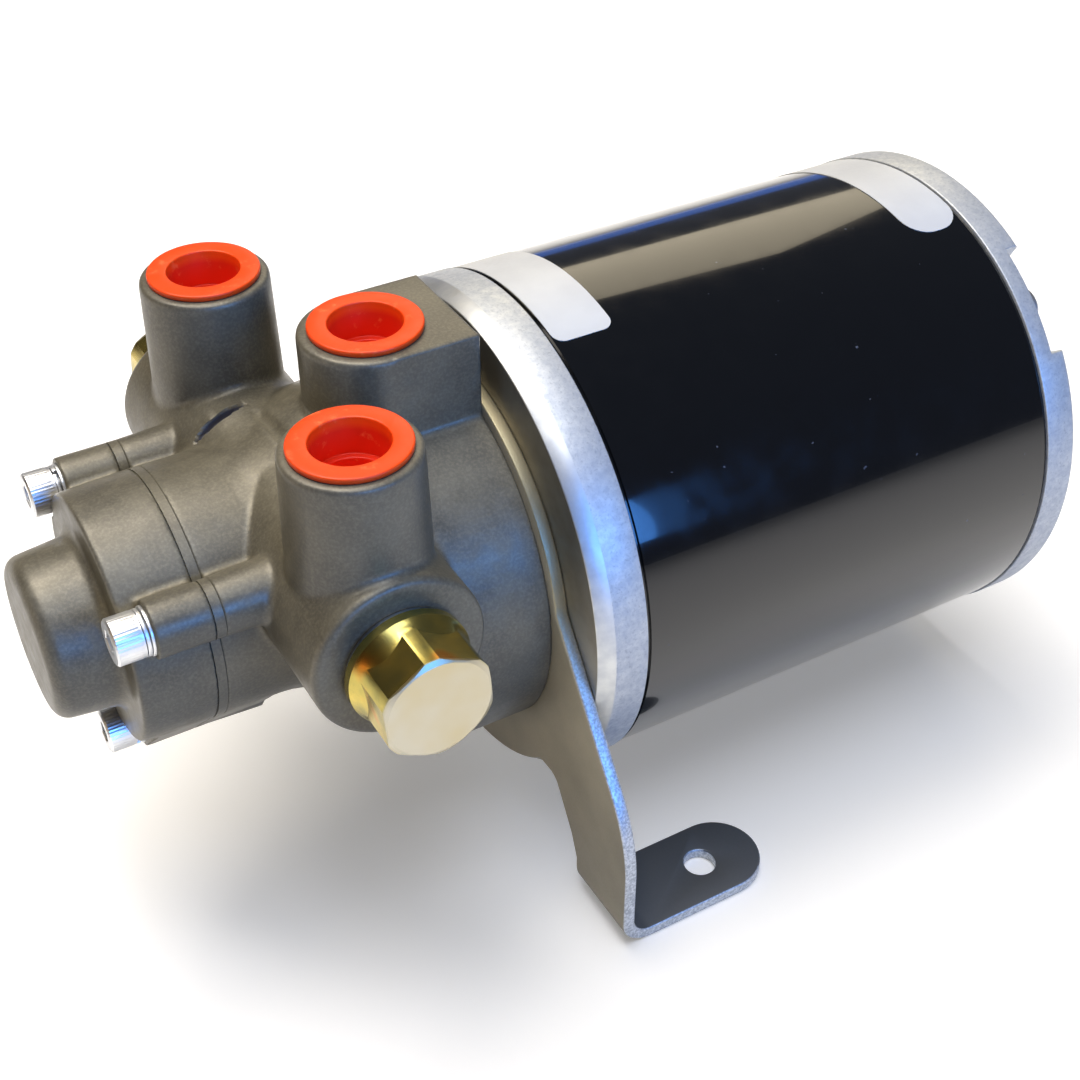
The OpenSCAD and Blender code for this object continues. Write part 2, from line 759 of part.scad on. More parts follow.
module brush_plate() {
    commutator_room = 2;
    end_x = brush_plate_x + brush_plate_t + over;
    color(phenolic) difference() {
        rod_x(brush_plate_x, brush_plate_x + brush_plate_t, tube_bore_r - gap);
        rod_x(brush_plate_x - over, end_x, commutator_r + commutator_room);
        at_through_bolts() rod_x(brush_plate_x - over, end_x, through_bolt_r + gap);
    }
}

module brush_holders() {
    wall = brush_holder_wall;
    room = brush_size + [2 * running_clear, 2 * running_clear, brush_room];
    w = room[1] + 2 * wall;
    color(bronze) ring_x(brush_angles) difference() {
        translate([brush_x - wall, -w / 2, brush_holder_h])
            cube([brush_plate_x - brush_x + wall, w, room[2] + brush_holder_roof]);
        translate([brush_x - running_clear, -room[1] / 2, brush_holder_h - over])
            cube([room[0], room[1], room[2] + over]);
    }
}

module brushes() {
    color(ferrite) ring_x(brush_angles) difference() {
        translate([brush_x, -brush_size[1] / 2, brush_foot_h]) cube(brush_size);
        rod_x(brush_x - over, brush_x + brush_size[0] + over, commutator_r + seat_clear);
    }
}

module brush_springs() {
    coil_r = 2.4;
    wire_r = 0.35;
    turns = 3;
    bottom_h = brush_foot_h + brush_size[2] + 2 * running_clear;
    top_h = brush_holder_h + brush_size[2] + brush_room - 2 * running_clear;
    color(bare_steel) ring_x(brush_angles)
        translate([brush_x + brush_size[0] / 2, 0, bottom_h])
        coil(coil_r, wire_r, top_h - bottom_h, turns);
}

module through_bolts() {
    head_x = motor_end_x - pad_depth;
    bolt_head_h = 3.2;
    tip_set = 1.5;
    color(zinc_silver) at_through_bolts() union() {
        rod_x(front_bell_x + tip_set, head_x + overlap, through_bolt_r);
        rod_x(head_x, head_x + bolt_head_h, through_bolt_head_r);
    }
}

// Outline of the bracket in front view; one leg is drawn and the other mirrors it
module leg_outline() {
    outer_y = foot_hole_span / 2 + foot_w / 2;
    inner_y = outer_y - foot_w;
    bend_h = plate_t + bend_r;
    centre = [0, axis_h];
    curve_c = [outer_y - leg_curve_r, axis_h - leg_curve_drop];
    lean = [cos(leg_lean), sin(leg_lean)];
    shoulder = centre + ((curve_c - centre) * lean + leg_curve_r) * lean;
    crotch_c = [inner_y - crotch_inset, axis_h - crotch_drop];
    flare_h = axis_h - flare_drop;
    polygon(concat(
        [centre],
        arc(centre, plate_low_r, -90, low_edge_end, 12),
        arc(crotch_c, crotch_r, crotch_start, crotch_end, 4),
        [[inner_y - flare_size[0], flare_h + flare_size[1]], [inner_y, flare_h]],
        [[inner_y, bend_h], [outer_y, bend_h]],
        arc(curve_c, leg_curve_r, 0, leg_lean, 10),
        [shoulder]
    ));
}

module bracket_outline() {
    translate([0, axis_h]) circle(r = plate_top_r);
    leg_outline();
    mirror([1, 0]) leg_outline();
}

module foot(side) {
    foot_y = side * foot_hole_span / 2;
    bend_x = plate_x + plate_t + bend_r;
    bend_h = plate_t + bend_r;
    round_x = foot_edge - foot_w / 2;
    difference() {
        rod_y(foot_y - foot_w / 2, foot_y + foot_w / 2, bend_r + plate_t, bend_x, bend_h);
        rod_y(foot_y - foot_w / 2 - over, foot_y + foot_w / 2 + over, bend_r, bend_x, bend_h);
        translate([bend_x, foot_y - foot_w, -plate_t]) cube([2 * bend_h, 2 * foot_w, 4 * bend_h]);
        translate([bend_x - 2 * bend_h, foot_y - foot_w, bend_h])
            cube([4 * bend_h, 2 * foot_w, 4 * bend_h]);
    }
    difference() {
        union() {
            translate([bend_x, foot_y - foot_w / 2, 0]) cube([round_x - bend_x, foot_w, plate_t]);
            rod_z(0, plate_t, foot_w / 2, round_x, foot_y);
        }
        rod_z(-over, plate_t + over, foot_hole_d / 2, 0, foot_y);
    }
}

module mounting_bracket() {
    color(coated_grey) union() {
        difference() {
            translate([plate_x, 0, 0]) rotate([90, 0, 90]) linear_extrude(plate_t) bracket_outline();
            rod_x(plate_x - over, front_bell_x + over, spigot_r + running_clear);
            at_flange_screws() rod_x(plate_x - over, front_bell_x + over, flange_screw_r + gap);
        }
        foot(-1);
        foot(1);
    }
}

module flange_screws() {
    head_x = front_bell_x + bell_web_t - flange_screw_head_h;
    socket_floor_t = 1.5;
    socket_r = 2.3;
    color(zinc_silver) at_flange_screws() difference() {
        union() {
            rod_x(plate_x - flange_screw_grip, head_x + overlap, flange_screw_r);
            rod_x(head_x, head_x + flange_screw_head_h, flange_screw_head_r);
        }
        translate([head_x + socket_floor_t, 0, axis_h]) rotate([0, 90, 0])
            cylinder(h = flange_screw_head_h, r = socket_r, $fn = 6);
    }
}

// Upright post with a rounded rim, drawn out by draft towards its foot
module post(x, y, foot_h, r, draft) {
    translate([x, y, 0]) rotate_extrude() polygon(concat(
        [[0, foot_h], [r + draft / 2, foot_h]],
        arc([r - rim_r, port_face_h - rim_r], rim_r, 0, 90, 4),
        [[0, port_face_h]]
    ));
}

// Thread bore and gallery below a port
module port_drilling(x, y, low_r) {
    rod_z(port_face_h - port_depth, port_face_h + over, port_bore_r, x, y);
    rod_z(valve_h, port_face_h - port_depth + overlap, low_r, x, y);
}

module reservoir_block() {
    foot_h = axis_h + flange_r - block_sink;
    half = block_w / 2;
    post(reservoir_x, 0, foot_h, half, 0);
    translate([reservoir_x, -half, foot_h])
        cube([plate_x - reservoir_x, block_w, port_face_h - foot_h]);
}

// Lugs from x0 to x1, each with a web that ties it to the head. The lower lug is faired
// into the head by two planes that all but touch both.
module lugs(x0, x1, growth = 0) {
    bite = 0.15;
    touch = acos((head_r - lug_r) / lug_pcr);
    head_touch = (head_r - bite) * [cos(touch), sin(touch)];
    lug_touch = [lug_pcr, 0] + (lug_r - bite) * [cos(touch), sin(touch)];
    at_lugs() cone_x(x0, x1, lug_r, lug_r + growth / 2, head_h);
    ring_x([for (a = lug_upper_angles) a - 90], head_h)
        translate([x0, -lug_web_w / 2, head_h]) cube([x1 - x0, lug_web_w, lug_pcr]);
    translate([x0, 0, head_h]) rotate([90, 0, 90]) linear_extrude(x1 - x0) rotate(lug_low_angle)
        polygon([head_touch, lug_touch, [lug_touch[0], -lug_touch[1]], [head_touch[0], -head_touch[1]]]);
}

module body_casting() {
    swell_x = split_x + swell_start;
    swell_end_x = plate_x - flange_len - swell_run_out;
    flange_x = plate_x - flange_len;
    lug_end_r = lug_r + lug_growth / 2;
    turn_x(concat(
        [[0, flange_x]],
        arc([flange_r - flange_edge_r, flange_x + flange_edge_r], flange_edge_r, -90, 0, 4),
        [[flange_r, plate_x], [spigot_r, plate_x], [spigot_r, spigot_end_x], [0, spigot_end_x]]
    ));
    rod_x(split_x, flange_x + over, head_r, head_h);
    turn_x(concat(
        [[0, swell_x]],
        [for (i = [0:swell_steps]) let (t = i / swell_steps)
            [head_r + swell_growth / 2 * (1 - cos(180 * t)) / 2, swell_x + (swell_end_x - swell_x) * t]],
        [[head_r + swell_growth / 2, flange_x + over], [0, flange_x + over]]
    ), head_h);
    turn_y(concat(
        [[0, -valve_face_y]],
        arc([valve_boss_r - boss_edge_r, boss_edge_r - valve_face_y], boss_edge_r, -90, 0, 4),
        arc([valve_boss_r - boss_edge_r, valve_face_y - boss_edge_r], boss_edge_r, 0, 90, 4),
        [[0, valve_face_y]]
    ));
    for (side = [-1, 1]) post(port_x, side * port_y, valve_h, tower_r, tower_draft);
    reservoir_block();
    lugs(split_x, lug_end_x, lug_growth);
    at_lugs() cone_x(lug_end_x, lug_end_x + lug_end_bevel, lug_end_r, lug_end_r - lug_end_bevel, head_h);
}

module pump_body() {
    seal_room = seal_x + seal_len;
    color(coated_grey) difference() {
        body_casting();
        // Coupling room, seal seat, shaft bore and the two bush seats
        rod_x(seal_room, spigot_end_x + over, coupling_r + coupling_room);
        rod_x(seal_x, seal_room + overlap, seal_r);
        rod_x(split_x - over, seal_x + overlap, pump_shaft_r + gap);
        for (h = [axis_h, idler_h])
            rod_x(split_x - over, split_x + body_bush_len, bush_r + seat_clear, h);
        seal_ring(seal_depth, running_clear);
        // Lock valve bore, threaded wider at both ends
        rod_y(-valve_face_y - over, valve_face_y + over, valve_bore_r);
        for (side = [-1, 1]) at_side(side)
            rod_y(plug_inner_y - over, valve_face_y + over, plug_thread_r + running_clear);
        // Ports and galleries
        for (side = [-1, 1]) port_drilling(port_x, side * port_y, gallery_d / 2);
        at_pump_ports() rod_x(split_x - over, port_x, small_gallery_d / 2);
        port_drilling(reservoir_x, 0, small_gallery_d / 2);
        rod_x(port_x, reservoir_x, small_gallery_d / 2, valve_h);
        at_lugs() rod_x(split_x - over, tapping_end_x, cover_screw_r + running_clear, head_h);
        at_flange_screws()
            rod_x(plate_x - flange_screw_grip - over, plate_x + over, flange_screw_r + running_clear);
    }
}

module port_plate() {
    color(bare_steel) difference() {
        union() {
            rod_x(cover_rear_x, split_x, head_r, head_h);
            lugs(cover_rear_x, split_x);
        }
        for (h = [axis_h, idler_h]) rod_x(cover_rear_x - over, split_x + over, pump_shaft_r + gap, h);
        at_pump_ports() rod_x(cover_rear_x - over, split_x + over, small_gallery_d / 2);
        at_lugs() rod_x(cover_rear_x - over, split_x + over, cover_screw_r + gap, head_h);
    }
}

module pump_cover() {
    face_r = head_r - cover_draft / 2;
    dome_r = dome_d / 2;
    dome_end_r = (dome_d - dome_draft) / 2;
    gallery_floor_t = 2;
    bush_floor_x = chamber_floor_x - cover_bush_len - end_gap;
    gallery_floor_x = chamber_floor_x + gallery_floor_t;
    spot_face_r = washer_r + spot_face_room;
    color(coated_grey) difference() {
        union() {
            turn_x(concat(
                [[0, dome_end_x]],
                arc([dome_end_r - dome_edge_r, dome_end_x + dome_edge_r], dome_edge_r, -90, 0, 6),
                arc([dome_r + dome_foot_r, cover_face_x - dome_foot_r], dome_foot_r, 180, 90, 4),
                arc([face_r - cover_edge_r, cover_face_x + cover_edge_r], cover_edge_r, -90, 0, 4),
                [[head_r, cover_rear_x], [0, cover_rear_x]]
            ), head_h);
            lugs(lug_face_x, cover_rear_x);
        }
        for (h = [axis_h, idler_h]) {
            rod_x(chamber_floor_x, cover_rear_x + over, chamber_r, h);
            rod_x(bush_floor_x, chamber_floor_x + over, bush_r + seat_clear, h);
        }
        at_pump_ports() rod_x(gallery_floor_x, cover_rear_x + over, small_gallery_d / 2);
        at_lugs() rod_x(lug_face_x - over, cover_rear_x + over, cover_screw_r + gap, head_h);
        at_lugs() rod_x(cover_face_x - over, lug_face_x, spot_face_r, head_h);
    }
}

module cover_screws() {
    seat_x = lug_face_x - washer_t;
    socket_depth = 2.8;
    socket_af = 4;
    color(zinc_silver) at_lugs() difference() {
        union() {
            rod_x(seat_x - overlap, tapping_end_x - end_gap, cover_screw_r, head_h);
            rod_x(seat_x - screw_head_h, seat_x, screw_head_d / 2, head_h);
        }
        translate([seat_x - screw_head_h - over, 0, head_h]) rotate([0, 90, 0])
            cylinder(h = socket_depth + over, r = socket_af / sqrt(3), $fn = 6);
    }
}

module spring_washers() {
    slit = 1.2;
    front_x = lug_face_x - washer_t;
    color(zinc_silver) at_lugs() difference() {
        rod_x(front_x, lug_face_x, washer_r, head_h);
        rod_x(front_x - over, lug_face_x + over, cover_screw_r + gap, head_h);
        translate([front_x - over, 0, head_h - slit / 2])
            cube([washer_t + 2 * over, washer_r + over, slit]);
    }
}

// Flat ring let into the body's split face, clear of its groove by spare
module seal_ring(depth, spare) {
    mid_r = head_r - chamber_wall / 2;
    difference() {
        rod_x(split_x - spare, split_x + depth, mid_r + seal_w / 2 + spare, head_h);
        rod_x(split_x - over, split_x + depth + over, mid_r - seal_w / 2 - spare, head_h);
    }
}

module cover_seal() {
    color(nitrile) seal_ring(seal_depth, 0);
}

module pump_shaft() {
    front_x = chamber_floor_x - cover_bush_len + end_gap;
    color(bare_steel) rod_x(front_x, coupling_x + coupling_len / 2 - gap, pump_shaft_r);
}

module drive_gear() {
    color(bare_steel) pump_gear(axis_h, drive_tooth_angle);
}

module idler_shaft() {
    front_x = chamber_floor_x - cover_bush_len + end_gap;
    color(bare_steel) rod_x(front_x, split_x + body_bush_len - end_gap, pump_shaft_r, idler_h);
}

module idler_gear() {
    color(bare_steel) pump_gear(idler_h, idler_tooth_angle);
}

module bush(x0, x1, h) {
    difference() {
        rod_x(x0, x1, bush_r, h);
        rod_x(x0 - over, x1 + over, pump_shaft_r + running_clear, h);
    }
}

module body_bushes() {
    color(bronze) for (h = [axis_h, idler_h]) bush(split_x, split_x + body_bush_len, h);
}

module cover_bushes() {
    color(bronze) for (h = [axis_h, idler_h]) bush(chamber_floor_x - cover_bush_len, chamber_floor_x, h);
}

module shaft_seal() {
    pocket_len = 3.5;
    lip_t = 2.4;
    color(nitrile) difference() {
        rod_x(seal_x, seal_x + seal_len, seal_r - seat_clear);
        rod_x(seal_x - over, seal_x + seal_len + over, pump_shaft_r + running_clear);
        rod_x(seal_x - over, seal_x + pocket_len, pump_shaft_r + lip_t);
    }
}

module drive_coupling() {
    mid_x = coupling_x + coupling_len / 2;
    color(bare_steel) difference() {
        rod_x(coupling_x, coupling_x + coupling_len, coupling_r);
        rod_x(coupling_x - over, mid_x + overlap, pump_shaft_r + seat_clear);
        rod_x(mid_x, coupling_x + coupling_len + over, shaft_r + seat_clear);
    }
}

// Everything below lies on the lock valve's axis; side -1 is the side of the near port
module shuttle_spool() {
    land_r = valve_bore_r - running_clear;
    groove_depth = 1;
    groove_w = 1.2;
    color(bare_steel) difference() {
        union() {
            rod_y(-shuttle_half, shuttle_half, land_r);
            rod_y(-push_rod_end_y, push_rod_end_y, push_rod_r);
        }
        for (y = [-shuttle_half / 2, 0, shuttle_half / 2]) difference() {
            rod_y(y - groove_w / 2, y + groove_w / 2, land_r + over);
            rod_y(y - groove_w, y + groove_w, land_r - groove_depth);
        }
    }
}

module check_seats() {
    color(bare_steel) for (side = [-1, 1]) at_side(side) difference() {
        rod_y(seat_offset, seat_face_y, valve_bore_r - seat_clear);
        rod_y(seat_offset - over, seat_face_y + over, seat_hole_r);
        translate([port_x, seat_face_y - (seat_cone_r - seat_hole_r), valve_h]) rotate([-90, 0, 0])
            cylinder(h = seat_cone_r - seat_hole_r + overlap, r1 = seat_hole_r, r2 = seat_cone_r + overlap);
    }
}

// Square poppet guided by its four corners, so that oil passes along its flats
module poppet(side) {
    nose_r = seat_cone_r - nose_clear;
    guide_r = spring_r - spring_wire_r - 2 * running_clear;
    back_y = seat_face_y + gap;
    color(bronze) at_side(side) union() {
        translate([port_x, 0, valve_h]) rotate([-90, 0, 0]) rotate_extrude() polygon([
            [0, seat_face_y - nose_len], [nose_r - nose_len, seat_face_y - nose_len],
            [nose_r, seat_face_y], [nose_r, back_y + over], [guide_r, back_y + over],
            [guide_r, poppet_back_y + spring_spigot_len], [0, poppet_back_y + spring_spigot_len]
        ]);
        intersection() {
            rod_y(back_y, poppet_back_y, poppet_guide_r);
            translate([port_x - poppet_af / 2, back_y, valve_h - poppet_af / 2])
                cube([poppet_af, poppet_len, poppet_af]);
        }
    }
}

module poppet_near() {
    poppet(-1);
}

module poppet_far() {
    poppet(1);
}

module poppet_spring(side) {
    color(bare_steel) at_side(side)
        translate([port_x, poppet_back_y + running_clear, valve_h]) rotate([-90, 0, 0])
        coil(spring_r, spring_wire_r, spring_end_y - poppet_back_y - 2 * running_clear, spring_turns);
}

module poppet_spring_near() {
    poppet_spring(-1);
}

module poppet_spring_far() {
    poppet_spring(1);
}

module hex_plug(side) {
    hex_y = plug_seat_y + plug_collar_t;
    corner_r = plug_hex_af / sqrt(3);
    worn_r = corner_r - hex_round;
    color(zinc_yellow) at_side(side) difference() {
        union() {
            rod_y(poppet_stop_y, plug_inner_y + overlap, stop_nose_r);
            rod_y(plug_inner_y, plug_seat_y + overlap, plug_thread_r);
            rod_y(plug_seat_y, hex_y, plug_collar_d / 2);
            intersection() {
                translate([port_x, hex_y - overlap, valve_h]) rotate([-90, 30, 0])
                    cylinder(h = plug_hex_len + overlap, r = corner_r, $fn = 6);
                union() {
                    rod_y(hex_y - over, plug_end_y - hex_bevel, worn_r);
                    translate([port_x, plug_end_y - hex_bevel, valve_h]) rotate([-90, 0, 0])
                        cylinder(h = hex_bevel, r1 = worn_r, r2 = worn_r - hex_bevel);
                }
            }
        }
        rod_y(poppet_stop_y - over, spring_end_y, spring_pocket_r);
    }
}

module hex_plug_near() {
    hex_plug(-1);
}

module hex_plug_far() {
    hex_plug(1);
}

module plug_seals() {
    color(bare_steel) for (side = [-1, 1]) at_side(side) difference() {
        rod_y(valve_face_y, plug_seat_y, plug_collar_d / 2 - seal_step);
        rod_y(valve_face_y - over, plug_seat_y + over, plug_thread_r + running_clear);
    }
}

module port_cap(x, y) {
    color(cap_red) translate([x, y, port_face_h]) rotate_extrude() polygon([
        [0, -stem_len], [stem_r, -stem_len], [stem_r, 0], [cap_r, 0], [cap_r, cap_t], [cup_r, cap_t],
        [cup_r, -cap_step_depth], [cap_step_r, -cap_step_depth], [cap_step_r, -cap_cup_depth],
        [0, -cap_cup_depth]
    ]);
}

module port_cap_near() {
    port_cap(port_x, -port_y);
}

module port_cap_far() {
    port_cap(port_x, port_y);
}

module port_cap_reservoir() {
    port_cap(reservoir_x, 0);
}

motor_tube();
front_bell();
rear_bell();
field_magnets();
armature_core();
armature_windings();
commutator();
motor_shaft();
bearing_outer_races();
bearing_inner_races();
bearing_balls();
brush_plate();
brush_holders();
brushes();
brush_springs();
through_bolts();
lead_grommet();
mounting_bracket();
flange_screws();
pump_body();
port_plate();
pump_cover();
cover_screws();
spring_washers();
cover_seal();
pump_shaft();
drive_gear();
idler_shaft();
idler_gear();
body_bushes();
cover_bushes();
shaft_seal();
drive_coupling();
shuttle_spool();
check_seats();
poppet_near();
poppet_far();
poppet_spring_near();
poppet_spring_far();
hex_plug_near();
hex_plug_far();
plug_seals();
port_cap_near();
port_cap_far();
port_cap_reservoir();
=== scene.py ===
import json
import math

import bmesh
import bpy
from mathutils import Matrix, Vector
from mathutils.bvhtree import BVHTree


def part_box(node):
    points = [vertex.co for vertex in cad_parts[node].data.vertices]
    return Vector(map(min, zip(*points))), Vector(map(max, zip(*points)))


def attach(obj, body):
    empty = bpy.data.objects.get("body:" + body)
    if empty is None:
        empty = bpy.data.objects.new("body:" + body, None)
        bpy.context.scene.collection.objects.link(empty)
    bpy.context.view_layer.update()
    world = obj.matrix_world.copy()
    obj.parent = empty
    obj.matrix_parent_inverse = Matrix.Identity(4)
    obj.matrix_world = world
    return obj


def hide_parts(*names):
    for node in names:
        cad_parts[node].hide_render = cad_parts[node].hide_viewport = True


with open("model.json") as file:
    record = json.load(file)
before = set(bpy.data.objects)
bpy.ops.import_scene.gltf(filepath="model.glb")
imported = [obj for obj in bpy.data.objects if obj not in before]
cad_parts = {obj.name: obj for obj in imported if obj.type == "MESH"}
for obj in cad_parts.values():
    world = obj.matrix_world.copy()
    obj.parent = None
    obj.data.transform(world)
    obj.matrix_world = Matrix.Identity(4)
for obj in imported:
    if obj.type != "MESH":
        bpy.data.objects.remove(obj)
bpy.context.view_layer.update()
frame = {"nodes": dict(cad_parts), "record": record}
mm = 0.001
print("frame loaded:", len(frame["nodes"]), "nodes")


# Colours are written as sRGB hex values
def linear(code):
    channels = [int(code[i:i + 2], 16) / 255 for i in (1, 3, 5)]
    return [c / 12.92 if c <= 0.04045 else ((c + 0.055) / 1.055) ** 2.4 for c in channels] + [1.0]


# Texture scale at which a feature is about this many millimetres wide
def perMm(size):
    return 1 / (size * mm)


# Lowest and highest corner of a CAD node, in millimetres
def extent(node):
    low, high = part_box(node)
    return low / mm, high / mm


# Feeds a node's sockets, each with a value or from another node's output
def feed(tree, node, sockets):
    for key, value in sockets.items():
        if isinstance(value, bpy.types.NodeSocket):
            tree.links.new(value, node.inputs[key])
        else:
            node.inputs[key].default_value = value


# Adds one node with its settings and links, and gives back the output asked for, or the node itself
def addNode(tree, kind, sockets, output=None, **settings):
    made = tree.nodes.new("ShaderNode" + kind)
    for key, value in settings.items():
        setattr(made, key, value)
    feed(tree, made, sockets)
    return made if output is None else made.outputs[output]


# New material with its shader; values that are the same all over sit on the shader itself
def newFinish(name, **values):
    finish = bpy.data.materials.new(name)
    finish.use_nodes = True
    tree = finish.node_tree
    tree.nodes.clear()
    shader = addNode(tree, "BsdfPrincipled", {key.replace("_", " "): value for key, value in values.items()})
    addNode(tree, "OutputMaterial", {"Surface": shader.outputs["BSDF"]})
    place = addNode(tree, "TexCoord", {}, "Object")
    return finish, tree, shader, place


# Noise lies mostly between these two values, so they are what a pattern is spread out from
noiseSpan = {"From Min": 0.35, "From Max": 0.65}
colourMix = 2    # the colour output of a Mix node, whose colour inputs are 6 and 7

# Marks of the die on top of the body: a crescent slot round the cross boss with a lip beside it, and a crease
# from there towards the near port, in millimetres and degrees about the boss
dieMarks = {
    "axisX": -58.2, "axisZ": 77.5, "radius": 16, "within": 2, "from": 93, "to": 140, "taper": 0.7,
    "slotY": 14.3, "slot": 2.8, "depth": 1.6, "lip": 2.6, "rise": 0.35,
    "creaseX": -58.6, "creaseFrom": -4, "creaseTo": 12, "crease": 2.6, "creaseDepth": 0.9, "creaseAbove": 90,
    # The slot's colour here is painted shade, drawn where the surface sinks below the boss's round
    "slotShade": "#35343d", "shadeFrom": 0.25, "shadeTo": 0.6, "above": 87, "rim": 35,
}


# Painted shade for the slot: 1 inside the slot, where the surface lies below the round of the boss
def slotShadeMask(tree, place):
    parts = addNode(tree, "SeparateXYZ", {"Vector": place}).outputs
    flat = addNode(tree, "CombineXYZ", {"X": parts["X"], "Z": parts["Z"]}, "Vector")
    axis = (dieMarks["axisX"] * mm, 0, dieMarks["axisZ"] * mm)
    fromAxis = addNode(tree, "VectorMath", {0: flat, 1: axis}, "Value", operation="DISTANCE")
    middle, half = dieMarks["slotY"] * mm, dieMarks["slot"] / 2 * mm
    beside = addNode(tree, "Math", {0: parts["Y"], 1: middle, 2: half}, "Value", operation="COMPARE")
    deepShade = addNode(tree, "MapRange", {
        "Value": fromAxis, "From Min": (dieMarks["radius"] - dieMarks["shadeFrom"]) * mm,
        "From Max": (dieMarks["radius"] - dieMarks["shadeTo"]) * mm}, "Result")
    high = addNode(tree, "MapRange", {
        "Value": parts["Z"], "From Min": (dieMarks["above"] - 1) * mm,
        "From Max": dieMarks["above"] * mm}, "Result")
    share = addNode(tree, "Math", {0: deepShade, 1: high}, "Value", operation="MULTIPLY")
    return addNode(tree, "Math", {0: share, 1: beside}, "Value", operation="MULTIPLY")


# Hard coat over pressure-cast aluminium: warm dark grey, satin and clouded. Its grain is finer than this on
# the real one, and is drawn coarse enough to show
castCoat = {
    "dark": "#5a5548", "light": "#6d6756", "fleck": "#948c74", "fleckShare": 0.3, "grain": 0.55, "skin": 3,
    "patch": 12, "smooth": 0.36, "rough": 0.46, "grainDepth": 0.03, "skinDepth": 0.05,
}


def coatedCasting():
    finish, tree, shader, place = newFinish("hardCoatedCastAluminium", Metallic=0.25, IOR=1.5)
    patch = addNode(tree, "TexNoise", {
        "Vector": place, "Scale": perMm(castCoat["patch"]), "Detail": 4, "Roughness": 0.6}, "Fac")
    grain = addNode(tree, "TexNoise", {
        "Vector": place, "Scale": perMm(castCoat["grain"]), "Detail": 2, "Roughness": 0.6}, "Fac")
    skin = addNode(tree, "TexNoise", {"Vector": place, "Scale": perMm(castCoat["skin"]), "Detail": 3}, "Fac")
    clouded = addNode(tree, "MapRange", {"Value": patch, **noiseSpan}, "Result")
    flecked = addNode(tree, "MapRange", {
        "Value": grain, "From Min": 0.42, "From Max": 0.7, "To Max": castCoat["fleckShare"]}, "Result")
    tone = addNode(tree, "Mix", {
        0: clouded, 6: linear(castCoat["dark"]), 7: linear(castCoat["light"])}, colourMix, data_type="RGBA")
    tone = addNode(tree, "Mix", {
        0: flecked, 6: tone, 7: linear(castCoat["fleck"])}, colourMix, data_type="RGBA")
    # Painted shade: the slot is drawn dark where its surface lies below the boss's round
    tone = addNode(tree, "Mix", {
        0: slotShadeMask(tree, place), 6: tone, 7: linear(dieMarks["slotShade"])}, colourMix, data_type="RGBA")
    satin = addNode(tree, "MapRange", {
        "Value": skin, **noiseSpan, "To Min": castCoat["smooth"], "To Max": castCoat["rough"]}, "Result")
    relief = addNode(tree, "Bump", {
        "Height": skin, "Distance": castCoat["skinDepth"] * mm, "Strength": 0.3}, "Normal")
    relief = addNode(tree, "Bump", {
        "Height": grain, "Distance": castCoat["grainDepth"] * mm, "Strength": 0.6, "Normal": relief}, "Normal")
    feed(tree, shader, {"Base Color": tone, "Roughness": satin, "Normal": relief})
    return finish


# The same coat on sheet steel: smoother, rubbed paler along the cut edges, with painted shade darkening the
# feet
sheetCoat = {
    "dark": "#9a937f", "light": "#b3ab94", "foot": "#5e5d58", "worn": "#c6c4b4", "grain": 0.5, "patch": 20,
    "edge": 0.5, "footShadeBelow": 4, "footShadeEndsAbove": 6, "smooth": 0.42, "rough": 0.54, "grainDepth": 0.015,
}


# 1 along convex edges, from how far a rounded normal turns away from the true one
def edgeMask(tree, width):
    rounded = addNode(tree, "Bevel", {"Radius": width * mm}, "Normal", samples=6)
    true = addNode(tree, "NewGeometry", {}, "Normal")
    alike = addNode(tree, "VectorMath", {0: rounded, 1: true}, "Value", operation="DOT_PRODUCT")
    return addNode(tree, "MapRange", {"Value": alike, "From Min": 0.98, "From Max": 0.88}, "Result")


def coatedSheet():
    finish, tree, shader, place = newFinish("hardCoatedSheetSteel", Metallic=0.25, IOR=1.5)
    patch = addNode(tree, "TexNoise", {
        "Vector": place, "Scale": perMm(sheetCoat["patch"]), "Detail": 3}, "Fac")
    grain = addNode(tree, "TexNoise", {
        "Vector": place, "Scale": perMm(sheetCoat["grain"]), "Detail": 2, "Roughness": 0.6}, "Fac")
    height = addNode(tree, "SeparateXYZ", {"Vector": place}, "Z")
    clouded = addNode(tree, "MapRange", {"Value": patch, **noiseSpan}, "Result")
    # Painted shade: the coat is drawn darker on the feet, below the leg
    low = addNode(tree, "MapRange", {
        "Value": height, "From Min": sheetCoat["footShadeBelow"] * mm, "From Max": sheetCoat["footShadeEndsAbove"] * mm,
        "To Min": 1, "To Max": 0}, "Result")
    tone = addNode(tree, "Mix", {
        0: clouded, 6: linear(sheetCoat["dark"]), 7: linear(sheetCoat["light"])}, colourMix, data_type="RGBA")
    tone = addNode(tree, "Mix", {0: low, 6: tone, 7: linear(sheetCoat["foot"])}, colourMix, data_type="RGBA")
    worn = edgeMask(tree, sheetCoat["edge"])
    tone = addNode(tree, "Mix", {0: worn, 6: tone, 7: linear(sheetCoat["worn"])}, colourMix, data_type="RGBA")
    satin = addNode(tree, "MapRange", {
        "Value": grain, **noiseSpan, "To Min": sheetCoat["smooth"], "To Max": sheetCoat["rough"]}, "Result")
    relief = addNode(tree, "Bump", {
        "Height": grain, "Distance": sheetCoat["grainDepth"] * mm, "Strength": 0.5}, "Normal")
    feed(tree, shader, {"Base Color": tone, "Roughness": satin, "Normal": relief})
    return finish


# Sheared steel edge under a thin coat: pale blue-grey, torn into fine grains that catch the light
cutSteel = {
    "pale": "#cdd0d2", "dark": "#a0a4a7", "upperTan": "#9c9274", "grain": 0.5, "paleBelow": 44, "tanAbove": 66,
    "smooth": 0.35, "rough": 0.5, "grainDepth": 0.05,
}


